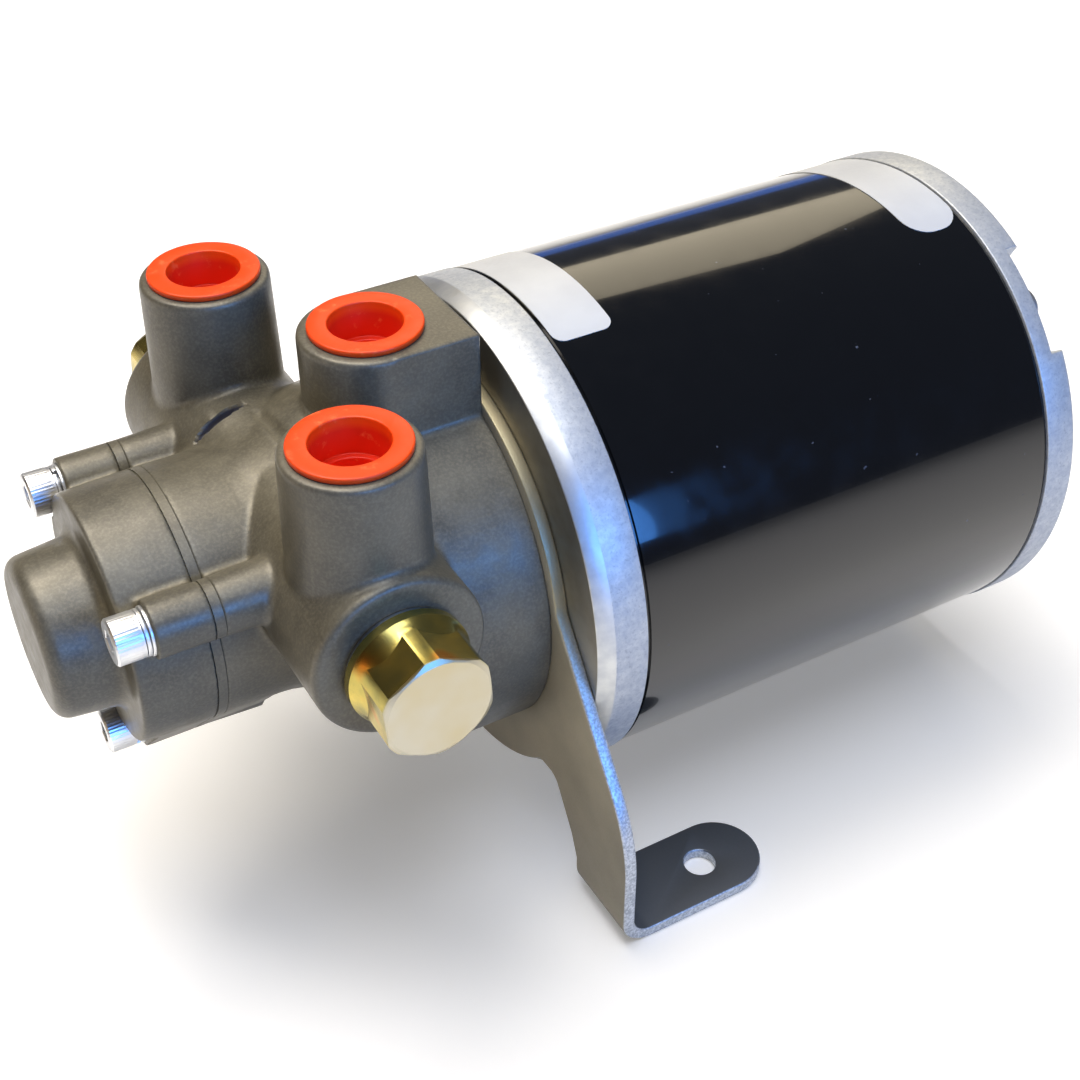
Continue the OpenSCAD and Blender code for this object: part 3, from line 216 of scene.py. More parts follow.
def cutEdge():
    finish, tree, shader, place = newFinish("shearedSteelEdge", Metallic=0.7)
    grain = addNode(tree, "TexNoise", {
        "Vector": place, "Scale": perMm(cutSteel["grain"]), "Detail": 3, "Roughness": 0.6}, "Fac")
    height = addNode(tree, "SeparateXYZ", {"Vector": place}, "Z")
    torn = addNode(tree, "MapRange", {"Value": grain, "From Min": 0.4, "From Max": 0.6}, "Result")
    # The edge is drawn tan towards the top and pale towards the bottom
    towardsTop = addNode(tree, "MapRange", {
        "Value": height, "From Min": cutSteel["paleBelow"] * mm,
        "From Max": cutSteel["tanAbove"] * mm}, "Result")
    tone = addNode(tree, "Mix", {
        0: torn, 6: linear(cutSteel["dark"]), 7: linear(cutSteel["pale"])}, colourMix, data_type="RGBA")
    tone = addNode(tree, "Mix", {0: towardsTop, 6: tone, 7: linear(cutSteel["upperTan"])}, colourMix, data_type="RGBA")
    satin = addNode(tree, "MapRange", {
        "Value": grain, **noiseSpan, "To Min": cutSteel["rough"], "To Max": cutSteel["smooth"]}, "Result")
    relief = addNode(tree, "Bump", {
        "Height": grain, "Distance": cutSteel["grainDepth"] * mm, "Strength": 0.8}, "Normal")
    feed(tree, shader, {"Base Color": tone, "Roughness": satin, "Normal": relief})
    return finish


# Raw pressure-cast aluminium: pale, cloudy where the metal chilled, finely pitted
rawCast = {
    "pale": "#cfd0cc", "cloud": "#b7babb", "pit": "#85898d", "pitShare": 0.4, "cloudSize": 1.6, "grain": 0.5,
    "smooth": 0.42, "rough": 0.5, "grainDepth": 0.03, "cloudDepth": 0.08,
}


def rawCasting():
    finish, tree, shader, place = newFinish("rawCastAluminium", Metallic=0.5)
    cloud = addNode(tree, "TexNoise", {
        "Vector": place, "Scale": perMm(rawCast["cloudSize"]), "Detail": 5, "Roughness": 0.65}, "Fac")
    grain = addNode(tree, "TexNoise", {
        "Vector": place, "Scale": perMm(rawCast["grain"]), "Detail": 3, "Roughness": 0.6}, "Fac")
    clouded = addNode(tree, "MapRange", {"Value": cloud, **noiseSpan}, "Result")
    pitted = addNode(tree, "MapRange", {
        "Value": grain, "From Min": 0.3, "From Max": 0.46,
        "To Min": rawCast["pitShare"], "To Max": 0}, "Result")
    tone = addNode(tree, "Mix", {
        0: clouded, 6: linear(rawCast["cloud"]), 7: linear(rawCast["pale"])}, colourMix, data_type="RGBA")
    tone = addNode(tree, "Mix", {0: pitted, 6: tone, 7: linear(rawCast["pit"])}, colourMix, data_type="RGBA")
    satin = addNode(tree, "MapRange", {
        "Value": cloud, **noiseSpan, "To Min": rawCast["rough"], "To Max": rawCast["smooth"]}, "Result")
    relief = addNode(tree, "Bump", {
        "Height": cloud, "Distance": rawCast["cloudDepth"] * mm, "Strength": 0.4}, "Normal")
    relief = addNode(tree, "Bump", {
        "Height": grain, "Distance": rawCast["grainDepth"] * mm, "Strength": 0.6, "Normal": relief}, "Normal")
    feed(tree, shader, {"Base Color": tone, "Roughness": satin, "Normal": relief})
    return finish


# Stoved gloss enamel on a rolled tube: deep black, with the faintest orange peel and a few specks of dust
enamel = {
    "black": "#07090c", "dust": "#5d6068", "dustShare": 0.8, "dustSize": 1.5, "peel": 6, "smooth": 0.1,
    "rough": 0.16, "peelDepth": 0.015,
}


def blackEnamel():
    finish, tree, shader, place = newFinish("glossBlackEnamel", IOR=1.45, Coat_Weight=0.6, Coat_Roughness=0.03)
    peel = addNode(tree, "TexNoise", {"Vector": place, "Scale": perMm(enamel["peel"]), "Detail": 2}, "Fac")
    dust = addNode(tree, "TexNoise", {
        "Vector": place, "Scale": perMm(enamel["dustSize"]), "Detail": 1}, "Fac")
    speck = addNode(tree, "MapRange", {
        "Value": dust, "From Min": 0.79, "From Max": 0.82, "To Max": enamel["dustShare"]}, "Result")
    tone = addNode(tree, "Mix", {
        0: speck, 6: linear(enamel["black"]), 7: linear(enamel["dust"])}, colourMix, data_type="RGBA")
    gloss = addNode(tree, "MapRange", {
        "Value": peel, **noiseSpan, "To Min": enamel["smooth"], "To Max": enamel["rough"]}, "Result")
    relief = addNode(tree, "Bump", {
        "Height": peel, "Distance": enamel["peelDepth"] * mm, "Strength": 0.25}, "Normal")
    feed(tree, shader, {"Base Color": tone, "Roughness": gloss, "Normal": relief})
    return finish


# Moulded polyethylene: waxy orange-red that lets a little light in, with painted shade making it a deeper red
# down in the cup, and whitish stress marks
capPlastic = {
    "red": "#ee4a0e", "deepShade": "#de2c12", "stress": "#f0854c", "stressShare": 0.5, "cloud": 5, "mark": 3,
    "cupShadeBelow": 2.5, "cupShadeEndsAbove": 1.2, "smooth": 0.3, "rough": 0.44, "cloudDepth": 0.05,
}


def mouldedRed():
    finish, tree, shader, place = newFinish(
        "mouldedPolyethyleneRed", IOR=1.51, Subsurface_Weight=0.12, Subsurface_Radius=(0.002, 0.0008, 0.0004),
        Specular_IOR_Level=0.3)
    cloud = addNode(tree, "TexNoise", {
        "Vector": place, "Scale": perMm(capPlastic["cloud"]), "Detail": 3}, "Fac")
    mark = addNode(tree, "TexNoise", {
        "Vector": place, "Scale": perMm(capPlastic["mark"]), "Detail": 4, "Roughness": 0.65}, "Fac")
    height = addNode(tree, "SeparateXYZ", {"Vector": place}, "Z")
    rim = extent("port_cap_near")[1].z
    # Painted shade: the red is drawn deeper down in the cup
    cupShade = addNode(tree, "MapRange", {
        "Value": height, "From Min": (rim - capPlastic["cupShadeBelow"]) * mm,
        "From Max": (rim - capPlastic["cupShadeEndsAbove"]) * mm, "To Min": 1, "To Max": 0}, "Result")
    stressed = addNode(tree, "MapRange", {
        "Value": mark, "From Min": 0.6, "From Max": 0.74, "To Max": capPlastic["stressShare"]}, "Result")
    tone = addNode(tree, "Mix", {
        0: cupShade, 6: linear(capPlastic["red"]), 7: linear(capPlastic["deepShade"])}, colourMix, data_type="RGBA")
    tone = addNode(tree, "Mix", {
        0: stressed, 6: tone, 7: linear(capPlastic["stress"])}, colourMix, data_type="RGBA")
    waxy = addNode(tree, "MapRange", {
        "Value": mark, **noiseSpan, "To Min": capPlastic["smooth"], "To Max": capPlastic["rough"]}, "Result")
    relief = addNode(tree, "Bump", {
        "Height": cloud, "Distance": capPlastic["cloudDepth"] * mm, "Strength": 0.3}, "Normal")
    feed(tree, shader, {"Base Color": tone, "Roughness": waxy, "Normal": relief})
    return finish


# Yellow passivated zinc on turned steel: champagne on the end face, where the film is thinnest, and gold,
# olive and orange down the sides
yellowZinc = {
    "champagne": "#c6c0ad", "pale": "#c2b797", "gold": "#d4bd62", "olive": "#a79d5c", "orange": "#dd9a46",
    "drift": 10, "sideDrift": 5, "tool": 0.35, "sideUnder": 0.9, "endOver": 0.3, "smooth": 0.24, "rough": 0.36,
    "toolDepth": 0.006,
}


def passivatedZinc():
    finish, tree, shader, place = newFinish("yellowPassivatedZinc", Metallic=1.0)
    drift = addNode(tree, "TexNoise", {
        "Vector": place, "Scale": perMm(yellowZinc["drift"]), "Detail": 2}, "Fac")
    other = addNode(tree, "TexNoise", {
        "Vector": place, "Scale": perMm(yellowZinc["sideDrift"]), "Detail": 3}, "Fac")
    tool = addNode(tree, "TexNoise", {"Vector": place, "Scale": perMm(yellowZinc["tool"]), "Detail": 2}, "Fac")
    endShare = addNode(tree, "MapRange", {"Value": drift, **noiseSpan}, "Result")
    sideShare = addNode(tree, "MapRange", {"Value": other, **noiseSpan}, "Result")
    orangeShare = addNode(tree, "MapRange", {"Value": drift, "From Min": 0.55, "From Max": 0.65}, "Result")
    end = addNode(tree, "Mix", {
        0: endShare, 6: linear(yellowZinc["champagne"]), 7: linear(yellowZinc["pale"])},
        colourMix, data_type="RGBA")
    side = addNode(tree, "Mix", {
        0: sideShare, 6: linear(yellowZinc["olive"]), 7: linear(yellowZinc["gold"])},
        colourMix, data_type="RGBA")
    side = addNode(tree, "Mix", {
        0: orangeShare, 6: side, 7: linear(yellowZinc["orange"])}, colourMix, data_type="RGBA")
    across = addNode(tree, "SeparateXYZ", {"Vector": place}, "Y")
    fromMiddle = addNode(tree, "Math", {0: across}, "Value", operation="ABSOLUTE")
    face = extent("hex_plug_far")[1].y
    isEnd = addNode(tree, "MapRange", {
        "Value": fromMiddle, "From Min": (face - yellowZinc["sideUnder"]) * mm,
        "From Max": (face - yellowZinc["endOver"]) * mm}, "Result")
    tone = addNode(tree, "Mix", {0: isEnd, 6: side, 7: end}, colourMix, data_type="RGBA")
    gloss = addNode(tree, "MapRange", {
        "Value": isEnd, "To Min": yellowZinc["smooth"], "To Max": yellowZinc["rough"]}, "Result")
    relief = addNode(tree, "Bump", {
        "Height": tool, "Distance": yellowZinc["toolDepth"] * mm, "Strength": 0.5}, "Normal")
    feed(tree, shader, {"Base Color": tone, "Roughness": gloss, "Normal": relief})
    return finish


# Bright metals share one recipe: a tint, a darker and rougher film in patches, and fine tool or grain marks
def plainMetal(name, pale, film, rough, patch=6, grain=0.4, depth=0.01):
    finish, tree, shader, place = newFinish(name, Metallic=1.0)
    cloud = addNode(tree, "TexNoise", {"Vector": place, "Scale": perMm(patch), "Detail": 4}, "Fac")
    fine = addNode(tree, "TexNoise", {"Vector": place, "Scale": perMm(grain), "Detail": 2}, "Fac")
    clean = addNode(tree, "MapRange", {"Value": cloud, **noiseSpan}, "Result")
    tone = addNode(tree, "Mix", {0: clean, 6: linear(film), 7: linear(pale)}, colourMix, data_type="RGBA")
    gloss = addNode(tree, "MapRange", {
        "Value": cloud, **noiseSpan, "To Min": rough + 0.08, "To Max": rough}, "Result")
    relief = addNode(tree, "Bump", {"Height": fine, "Distance": depth * mm, "Strength": 0.6}, "Normal")
    feed(tree, shader, {"Base Color": tone, "Roughness": gloss, "Normal": relief})
    return finish


# Plain solids share one too: two near tones and a fine grain
def plainSolid(name, tone, other, rough, grain=0.5, patch=5, depth=0.02):
    finish, tree, shader, place = newFinish(name, IOR=1.5)
    cloud = addNode(tree, "TexNoise", {"Vector": place, "Scale": perMm(patch), "Detail": 3}, "Fac")
    fine = addNode(tree, "TexNoise", {"Vector": place, "Scale": perMm(grain), "Detail": 2}, "Fac")
    share = addNode(tree, "MapRange", {"Value": cloud, **noiseSpan}, "Result")
    tones = addNode(tree, "Mix", {0: share, 6: linear(tone), 7: linear(other)}, colourMix, data_type="RGBA")
    satin = addNode(tree, "MapRange", {
        "Value": fine, **noiseSpan, "To Min": rough - 0.05, "To Max": rough + 0.05}, "Result")
    relief = addNode(tree, "Bump", {"Height": fine, "Distance": depth * mm, "Strength": 0.6}, "Normal")
    feed(tree, shader, {"Base Color": tones, "Roughness": satin, "Normal": relief})
    return finish


finishes = {
    "coated_casting": coatedCasting(),
    "sheet": coatedSheet(),
    "cut_edge": cutEdge(),
    "bare_casting": rawCasting(),
    "black_enamel": blackEnamel(),
    "cap_red": mouldedRed(),
    "yellow_zinc": passivatedZinc(),
    "bright_zinc": plainMetal("brightZincPlate", "#f3f3f2", "#dedfe0", 0.34, grain=0.8),
    # The turned face's darker, warmer tone is painted shade
    "shaded_turned_face": plainMetal("turnedAluminiumInShade", "#a9a498", "#8f897b", 0.4, patch=12, grain=0.7),
    "turned_facet": plainMetal("turnedAluminiumFacet", "#d3d4d1", "#bdbfc0", 0.42, patch=4, grain=0.7),
    "steel": plainMetal("groundSteel", "#bfc3c8", "#9ba0a6", 0.28),
    "bearing_bronze": plainMetal("sinteredBronze", "#b98d52", "#8a6437", 0.42, depth=0.03),
    "copper": plainMetal("varnishedCopper", "#c9793f", "#8f4f28", 0.3, grain=0.6),
    "ferrite": plainSolid("pressedFerrite", "#2b2b2e", "#3a3a3c", 0.7),
    "carbon": plainSolid("copperGraphite", "#1f1d1c", "#352c27", 0.55),
    "phenolic": plainSolid("brownPhenolicBoard", "#5a3d22", "#6e4c2c", 0.45),
    "nitrile": plainSolid("mouldedNitrile", "#161617", "#202022", 0.6),
    "label": plainSolid("whiteVinyl", "#c9c9c4", "#c2c2be", 0.4, grain=0.8, patch=9, depth=0.01),
}
print("materials made:", len(finishes))

# Every CAD node takes the finish of its material slot
for part in frame["record"]["subparts"]:
    node = frame["nodes"][part["node"]]
    key = "sheet" if part["node"] == "mounting_bracket" else part["material_slot"]
    node.data.materials.clear()
    node.data.materials.append(finishes[key])


# Turns that carry a shape drawn about Z over to another axis
facing = {
    "x": Matrix.Rotation(math.radians(90), 4, "Y"),
    "-x": Matrix.Rotation(math.radians(-90), 4, "Y"),
    "y": Matrix.Rotation(math.radians(-90), 4, "X"),
    "-y": Matrix.Rotation(math.radians(90), 4, "X"),
    "z": Matrix.Identity(4),
}


def spot(x, y, z, way="z"):
    return Matrix.Translation((x, y, z)) @ facing[way]


# Rounds the rims that lie at a radius and height of a turned shape
def roundRim(bm, radius, height, rounding, segments=3):
    rim = [edge for edge in bm.edges if all(
        abs(v.co.z - height) < 0.001 and abs(v.co.xy.length - radius) < 0.001 for v in edge.verts)]
    bmesh.ops.bevel(bm, geom=rim, offset=rounding, offset_type="OFFSET", segments=segments, profile=0.5,
                    affect="EDGES", clamp_overlap=True, material=-1)


# Turned solid about Z, in millimetres: each point is radius, height and how far its rim is rounded
def turned(points, steps=96):
    bm = bmesh.new()
    chain = [bm.verts.new((radius, 0, height)) for radius, height, rounding in points]
    edges = [bm.edges.new(pair) for pair in zip(chain, chain[1:])]
    if points[0][0] > 0:
        edges.append(bm.edges.new((chain[-1], chain[0])))
    bmesh.ops.spin(bm, geom=chain + edges, cent=(0, 0, 0), axis=(0, 0, 1), angle=math.radians(360),
                   steps=steps, use_merge=True)
    bmesh.ops.remove_doubles(bm, verts=bm.verts, dist=0.0005)
    bmesh.ops.recalc_face_normals(bm, faces=bm.faces)
    for radius, height, rounding in points:
        if rounding:
            roundRim(bm, radius, height, rounding)
    return bm


# Puts a copy of the shape at each place
def repeated(bm, places):
    shape = bpy.data.meshes.new("shape")
    bm.to_mesh(shape)
    bm.clear()
    for place in places:
        bm.verts.ensure_lookup_table()
        already = len(bm.verts)
        bm.from_mesh(shape)
        bm.verts.ensure_lookup_table()
        bmesh.ops.transform(bm, matrix=place, verts=bm.verts[already:])
    bpy.data.meshes.remove(shape)
    return bm


# Adds one shape to another
def joinShape(bm, other):
    shape = bpy.data.meshes.new("shape")
    other.to_mesh(shape)
    other.free()
    bm.from_mesh(shape)
    bpy.data.meshes.remove(shape)


# Object from a shape in millimetres: metres, smooth within the angle, riding on its body
def addPiece(name, bm, key, body="housing", nodes=(), sharp=35):
    bmesh.ops.scale(bm, vec=(mm, mm, mm), verts=bm.verts)
    mesh = bpy.data.meshes.new(name)
    bm.to_mesh(mesh)
    bm.free()
    mesh.shade_smooth()
    mesh.set_sharp_from_angle(angle=math.radians(sharp))
    mesh.materials.append(finishes[key])
    piece = bpy.data.objects.new(name, mesh)
    bpy.context.scene.collection.objects.link(piece)
    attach(piece, body)
    if nodes:
        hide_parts(*nodes)
    return piece


# A CAD node's shape in millimetres, its loose triangles merged and its flat areas joined up
def shapeOf(node, flat=0.5):
    bm = bmesh.new()
    bm.from_mesh(frame["nodes"][node].data)
    bmesh.ops.scale(bm, vec=(1 / mm, 1 / mm, 1 / mm), verts=bm.verts)
    bmesh.ops.remove_doubles(bm, verts=bm.verts, dist=0.002)
    if flat:
        bmesh.ops.dissolve_limit(bm, angle_limit=math.radians(flat), verts=bm.verts, edges=bm.edges)
    return bm


# Replaces a piece's mesh by what its modifiers make of it
def applyModifiers(piece):
    depsgraph = bpy.context.evaluated_depsgraph_get()
    result = bpy.data.meshes.new_from_object(piece.evaluated_get(depsgraph))
    piece.modifiers.clear()
    old = piece.data
    piece.data = result
    bpy.data.meshes.remove(old)


def addModifier(piece, kind, **settings):
    made = piece.modifiers.new(kind.lower(), kind)
    for key, value in settings.items():
        setattr(made, key, value)
    return made


# Castings: hollow corners filled to a small fillet, outer edges left near sharp, as the die leaves them
casting = {"voxel": 0.36, "fillet": 0.65, "smoothing": 3, "keep": 0.05, "restore": 0.14, "triangles": 190000}


# Moves what smoothing took off the outer edges back out to the true surface, and leaves the rest smooth
def restoreEdges(piece, trueShape):
    least, most = casting["keep"] * mm, casting["restore"] * mm
    for v in piece.data.vertices:
        near, normal, face, distance = trueShape.find_nearest(v.co)
        if distance > least and (v.co - near).dot(normal) < 0:
            v.co = v.co.lerp(near, min(1, (distance - least) / (most - least)))


# The slot is deepest half way round and runs out at both ends, and so does the lip on its near side
def pressDieMarks(piece):
    for v in piece.data.vertices:
        x, y, z = v.co / mm
        fromAxis = Vector((x - dieMarks["axisX"], 0, z - dieMarks["axisZ"]))
        angle = math.degrees(math.atan2(fromAxis.z, fromAxis.x))
        share = (angle - dieMarks["from"]) / (dieMarks["to"] - dieMarks["from"])
        if 0 < share < 1 and abs(fromAxis.length - dieMarks["radius"]) < dieMarks["within"]:
            taper = math.sin(math.pi * share) ** dieMarks["taper"]
            half, lip = dieMarks["slot"] / 2 * taper, dieMarks["lip"] * taper
            beside = y - dieMarks["slotY"]
            if abs(beside) < half:
                v.co -= fromAxis.normalized() * dieMarks["depth"] * taper * (1 - (beside / half) ** 4) * mm
            elif -half - lip < beside < 0:
                v.co += fromAxis.normalized() * dieMarks["rise"] * taper * (beside + half + lip) / lip * mm
        across = abs(x - dieMarks["creaseX"]) / (dieMarks["crease"] / 2)
        if across < 1 and z > dieMarks["creaseAbove"] and dieMarks["creaseFrom"] < y < dieMarks["creaseTo"]:
            along = (y - dieMarks["creaseFrom"]) / (dieMarks["creaseTo"] - dieMarks["creaseFrom"])
            v.co.z -= dieMarks["creaseDepth"] * math.sin(math.pi * along) * (1 - across ** 2) * mm


# Shades the slot's rims as edges and leaves all the others soft
def sharpenSlot(piece):
    mesh = piece.data
    mesh.set_sharp_from_angle(angle=math.radians(dieMarks["rim"]))
    for edge in mesh.edges:
        x, y, z = mesh.vertices[edge.vertices[0]].co / mm
        beside = abs(y - dieMarks["slotY"]) > dieMarks["slot"]
        if beside or z < dieMarks["above"] or x > dieMarks["axisX"]:
            edge.use_edge_sharp = False


# Swells the shape and shrinks it again, which fills its hollow corners, then smooths it and thins its mesh
def softCasting(name, node):
    bm = shapeOf(node, flat=0)
    bmesh.ops.scale(bm, vec=(mm, mm, mm), verts=bm.verts)
    trueShape = BVHTree.FromBMesh(bm)
    bmesh.ops.scale(bm, vec=(1 / mm, 1 / mm, 1 / mm), verts=bm.verts)
    piece = addPiece(name, bm, "coated_casting", nodes=[node], sharp=180)
    for swell in (casting["fillet"], -casting["fillet"]):
        addModifier(piece, "REMESH", mode="VOXEL", voxel_size=casting["voxel"] * mm)
        addModifier(piece, "DISPLACE", strength=swell * mm, mid_level=0)
    addModifier(piece, "REMESH", mode="VOXEL", voxel_size=casting["voxel"] * mm)
    addModifier(piece, "SMOOTH", factor=0.5, iterations=casting["smoothing"])
    applyModifiers(piece)
    restoreEdges(piece, trueShape)
    if node == "pump_body":
        pressDieMarks(piece)
    count = sum(len(face.vertices) - 2 for face in piece.data.polygons)
    if count > casting["triangles"]:
        addModifier(piece, "DECIMATE", ratio=casting["triangles"] / count)
        applyModifiers(piece)
    piece.data.shade_smooth()
    if node == "pump_body":
        sharpenSlot(piece)
    print(name, "made:", len(piece.data.polygons), "faces")
    return piece


softCasting("pumpBodyCasting", "pump_body")
softCasting("pumpCoverCasting", "pump_cover")

# Sheet, cast and turned parts whose sharp edges are broken, each by its own width in millimetres. The port
# plate's edges stay as they were cut
brokenEdges = {
    "mounting_bracket": ("bracketSheet", "sheet", 0.4),
    "front_bell": ("frontBellCasting", "bare_casting", 0.3),
    "rear_bell": ("rearBellCasting", "bare_casting", 0.45),
    "port_plate": ("portPlateBlank", "coated_casting", 0),
    "plug_seals": ("plugWashers", "steel", 0.15),
    "through_bolts": ("throughBolts", "bright_zinc", 0.3),
    "lead_grommet": ("leadGrommet", "nitrile", 0.3),
}
edgeBreak = {"over": 40, "segments": 3, "sharp": 35}


def breakEdges():
    for node, (name, key, width) in brokenEdges.items():
        piece = addPiece(name, shapeOf(node), key, nodes=[node])
        if width:
            addModifier(piece, "BEVEL", width=width * mm, segments=edgeBreak["segments"], limit_method="ANGLE",
                        angle_limit=math.radians(edgeBreak["over"]), harden_normals=False)
            applyModifiers(piece)
        piece.data.shade_smooth()
        piece.data.set_sharp_from_angle(angle=math.radians(edgeBreak["sharp"]))


breakEdges()


bracketFoot = {"bendTop": 8, "bendLength": 8, "facing": 0.5}


# The bracket's cut edges, where the coat is thin: all that doesn't lie in the plane of the sheet
def cutEdges():
    mesh = bpy.data.objects["bracketSheet"].data
    mesh.materials.append(finishes["cut_edge"])
    footTop = bracketFoot["bendTop"] * mm
    footStart = (extent("mounting_bracket")[0].x + bracketFoot["bendLength"]) * mm
    for face in mesh.polygons:
        side = abs(face.normal.y) > bracketFoot["facing"]
        level = abs(face.normal.z) > bracketFoot["facing"]
        cut = side or (level and face.center.z > footTop) or (not level and face.center.x > footStart)
        face.material_index = int(cut)


bellTurning = {"face": 0.9, "facet": 0.25}


# The front bell is turned: painted shade makes it darker and warmer on the face where the bracket's plate
# seats, and it is bright on the facet round it
def shadedFaceAndBrightFacet():
    mesh = bpy.data.objects["frontBellCasting"].data
    mesh.materials.append(finishes["shaded_turned_face"])
    mesh.materials.append(finishes["turned_facet"])
    for face in mesh.polygons:
        ahead = -face.normal.x
        face.material_index = 1 if ahead > bellTurning["face"] else 2 if ahead > bellTurning["facet"] else 0


cutEdges()
shadedFaceAndBrightFacet()
print("edges broken:", len(brokenEdges))

# Port caps: flange, cup with a stepped floor, and a stem that grips the port
cap = {
    "flange": 1.2, "cup": 13.6, "well": 11, "stepDepth": 6, "depth": 8, "floor": 1, "stem": 15, "lip": 0.35,
    "foot": 0.6, "neck": 0.15, "mouth": 0.3, "corner": 0.2, "brink": 0.3, "bottom": 0.4,
}


def portCaps():
    for node, name in (("port_cap_near", "portCapNear"), ("port_cap_far", "portCapFar"),
                       ("port_cap_reservoir", "portCapReservoir")):
        low, high = extent(node)
        rim, stem, cup, well = (high.x - low.x) / 2, cap["stem"] / 2, cap["cup"] / 2, cap["well"] / 2
        face = cap["flange"]
        foot = -(cap["depth"] + cap["floor"])
        bm = turned([
            (0, foot, 0), (stem, foot, cap["foot"]), (stem, 0, cap["neck"]), (rim, 0, cap["lip"]),
            (rim, face, cap["lip"]), (cup, face, cap["mouth"]), (cup, -cap["stepDepth"], cap["corner"]),
            (well, -cap["stepDepth"], cap["brink"]), (well, -cap["depth"], cap["bottom"]),
            (0, -cap["depth"], 0)])
        centre = (low + high) / 2
        repeated(bm, [spot(centre.x, centre.y, high.z - face)])
        addPiece(name, bm, "cap_red", body=node.replace("port_cap_", "") + "_cap", nodes=[node])


portCaps()

# Hexagon plugs: collar, hexagon with turned-off corners, thread, and a nose with the spring's pocket in it
plug = {
    "flats": 19, "hexLength": 7.3, "cornersOff": 0.7, "faceRadius": 9.6, "faceAngle": 28, "faceDrop": 0.15,
    "faceEdge": 0.3, "collar": 22.4, "collarFlat": 2, "collarSlope": 3.4, "collarEdge": 0.3, "shoulder": 0.5,
    "shoulderIn": 0.35, "cone": 1.7, "thread": 16, "threadLength": 8, "threadEdge": 0.6, "nose": 6.7,
    "noseLength": 0.8, "pocket": 3.7, "pocketFloor": 2.5, "overlap": 0.5, "sides": 96, "turn": 4,
}


# Distance from the middle of a hexagon to its outline, for points at an angle
def hexagonReach(flats, angle):
    turn = (angle + math.radians(30)) % math.radians(60) - math.radians(30)
    return flats / 2 / math.cos(turn)


# Adds a wall from an open ring to a copy of it at another height and radius, and returns the new ring
def wallUp(bm, ring, height, reach):
    made = bmesh.ops.extrude_edge_only(bm, edges=ring)["geom"]
    verts = [v for v in made if isinstance(v, bmesh.types.BMVert)]
    for v in verts:
        angle = math.atan2(v.co.y, v.co.x)
        out = reach(angle)
        level = height(angle, out) if callable(height) else height
        v.co = (out * math.cos(angle), out * math.sin(angle), level)
    return [e for e in made if isinstance(e, bmesh.types.BMEdge)]


def hexPlugs():
    collarTop = plug["collarFlat"] + plug["collarSlope"]
    top = collarTop + plug["hexLength"]
    corner = plug["flats"] / math.sqrt(3)
    slope = math.tan(math.radians(plug["faceAngle"]))
    outer = plug["collar"] / 2
    thread = plug["thread"] / 2
    inner = -plug["threadLength"]
    noseEnd = inner - plug["noseLength"]
    turn = Matrix.Rotation(math.radians(plug["turn"]), 3, "Z")

    def hexReach(angle):
        return min(corner - plug["cornersOff"], hexagonReach(plug["flats"], angle))

    # The collar's cone meets the flats in six arcs, and so does the end face's bevel
    def coneHeight(angle, out):
        return collarTop - (out - plug["flats"] / 2) * plug["cone"]

    def bevelHeight(angle, out):
        return top - max(0, out - plug["faceRadius"]) * slope - plug["faceDrop"]

    for node, name, way, side in (("hex_plug_near", "hexPlugNear", "-y", -1),
                                  ("hex_plug_far", "hexPlugFar", "y", 1)):
        low, high = extent(node)
        bm = bmesh.new()
        bmesh.ops.create_circle(bm, segments=plug["sides"], radius=thread)
        edges = list(bm.edges)
        bmesh.ops.contextual_create(bm, geom=edges)
        edges = wallUp(bm, edges, 0, lambda a: outer - plug["collarEdge"])
        edges = wallUp(bm, edges, plug["collarEdge"], lambda a: outer)
        edges = wallUp(bm, edges, plug["collarFlat"], lambda a: outer)
        edges = wallUp(bm, edges, plug["collarFlat"] + plug["shoulder"], lambda a: outer - plug["shoulderIn"])
        edges = wallUp(bm, edges, coneHeight, hexReach)
        edges = wallUp(bm, edges, bevelHeight, hexReach)
        edges = wallUp(bm, edges, top, lambda a: min(plug["faceRadius"], hexReach(a)) - plug["faceEdge"])
        bmesh.ops.contextual_create(bm, geom=edges)
        bmesh.ops.rotate(bm, cent=(0, 0, 0), matrix=turn, verts=bm.verts)
        bmesh.ops.recalc_face_normals(bm, faces=bm.faces)
        joinShape(bm, turned([
            (0, plug["overlap"], 0), (thread, plug["overlap"], 0), (thread, inner, plug["threadEdge"]),
            (plug["nose"], inner, 0), (plug["nose"], noseEnd, 0), (plug["pocket"], noseEnd, 0),
            (plug["pocket"], -plug["pocketFloor"], 0), (0, -plug["pocketFloor"], 0)]))
        centre = (low + high) / 2
        end = low.y if side < 0 else high.y
        repeated(bm, [spot(centre.x, end - side * top, centre.z, way)])
        addPiece(name, bm, "yellow_zinc", nodes=[node], sharp=22)


hexPlugs()

# Cover screws: knurled socket heads on spring washers, at the three lugs
screw = {
    "head": 8.5, "headLength": 5, "headEdge": 0.35, "shank": 5, "socket": 4, "socketDepth": 2.8,
    "socketEdge": 0.15, "ridges": 40, "knurl": 0.06, "collar": 0.7, "runOut": 0.15,
}
washers = {
    "flat": 0.6, "outer": 8.9, "springOuter": 8.5, "inner": 5.6, "slit": 10, "rise": 0.25, "edge": 0.15,
    "flatEdge": 0.1, "steps": 72,
}
lugAngles = (30, 150, 270)
screwTurns = (12, 47, 25)
washerTurns = (200, 80, 310)


def lugPlaces():
    low, high = extent("cover_screws")
    reach = ((high.y - low.y) - screw["head"]) / 2 / math.cos(math.radians(lugAngles[0]))
    middle = low.z + screw["head"] / 2 + reach
    return low, high, [(reach * math.cos(math.radians(a)), middle + reach * math.sin(math.radians(a)))
                       for a in lugAngles]


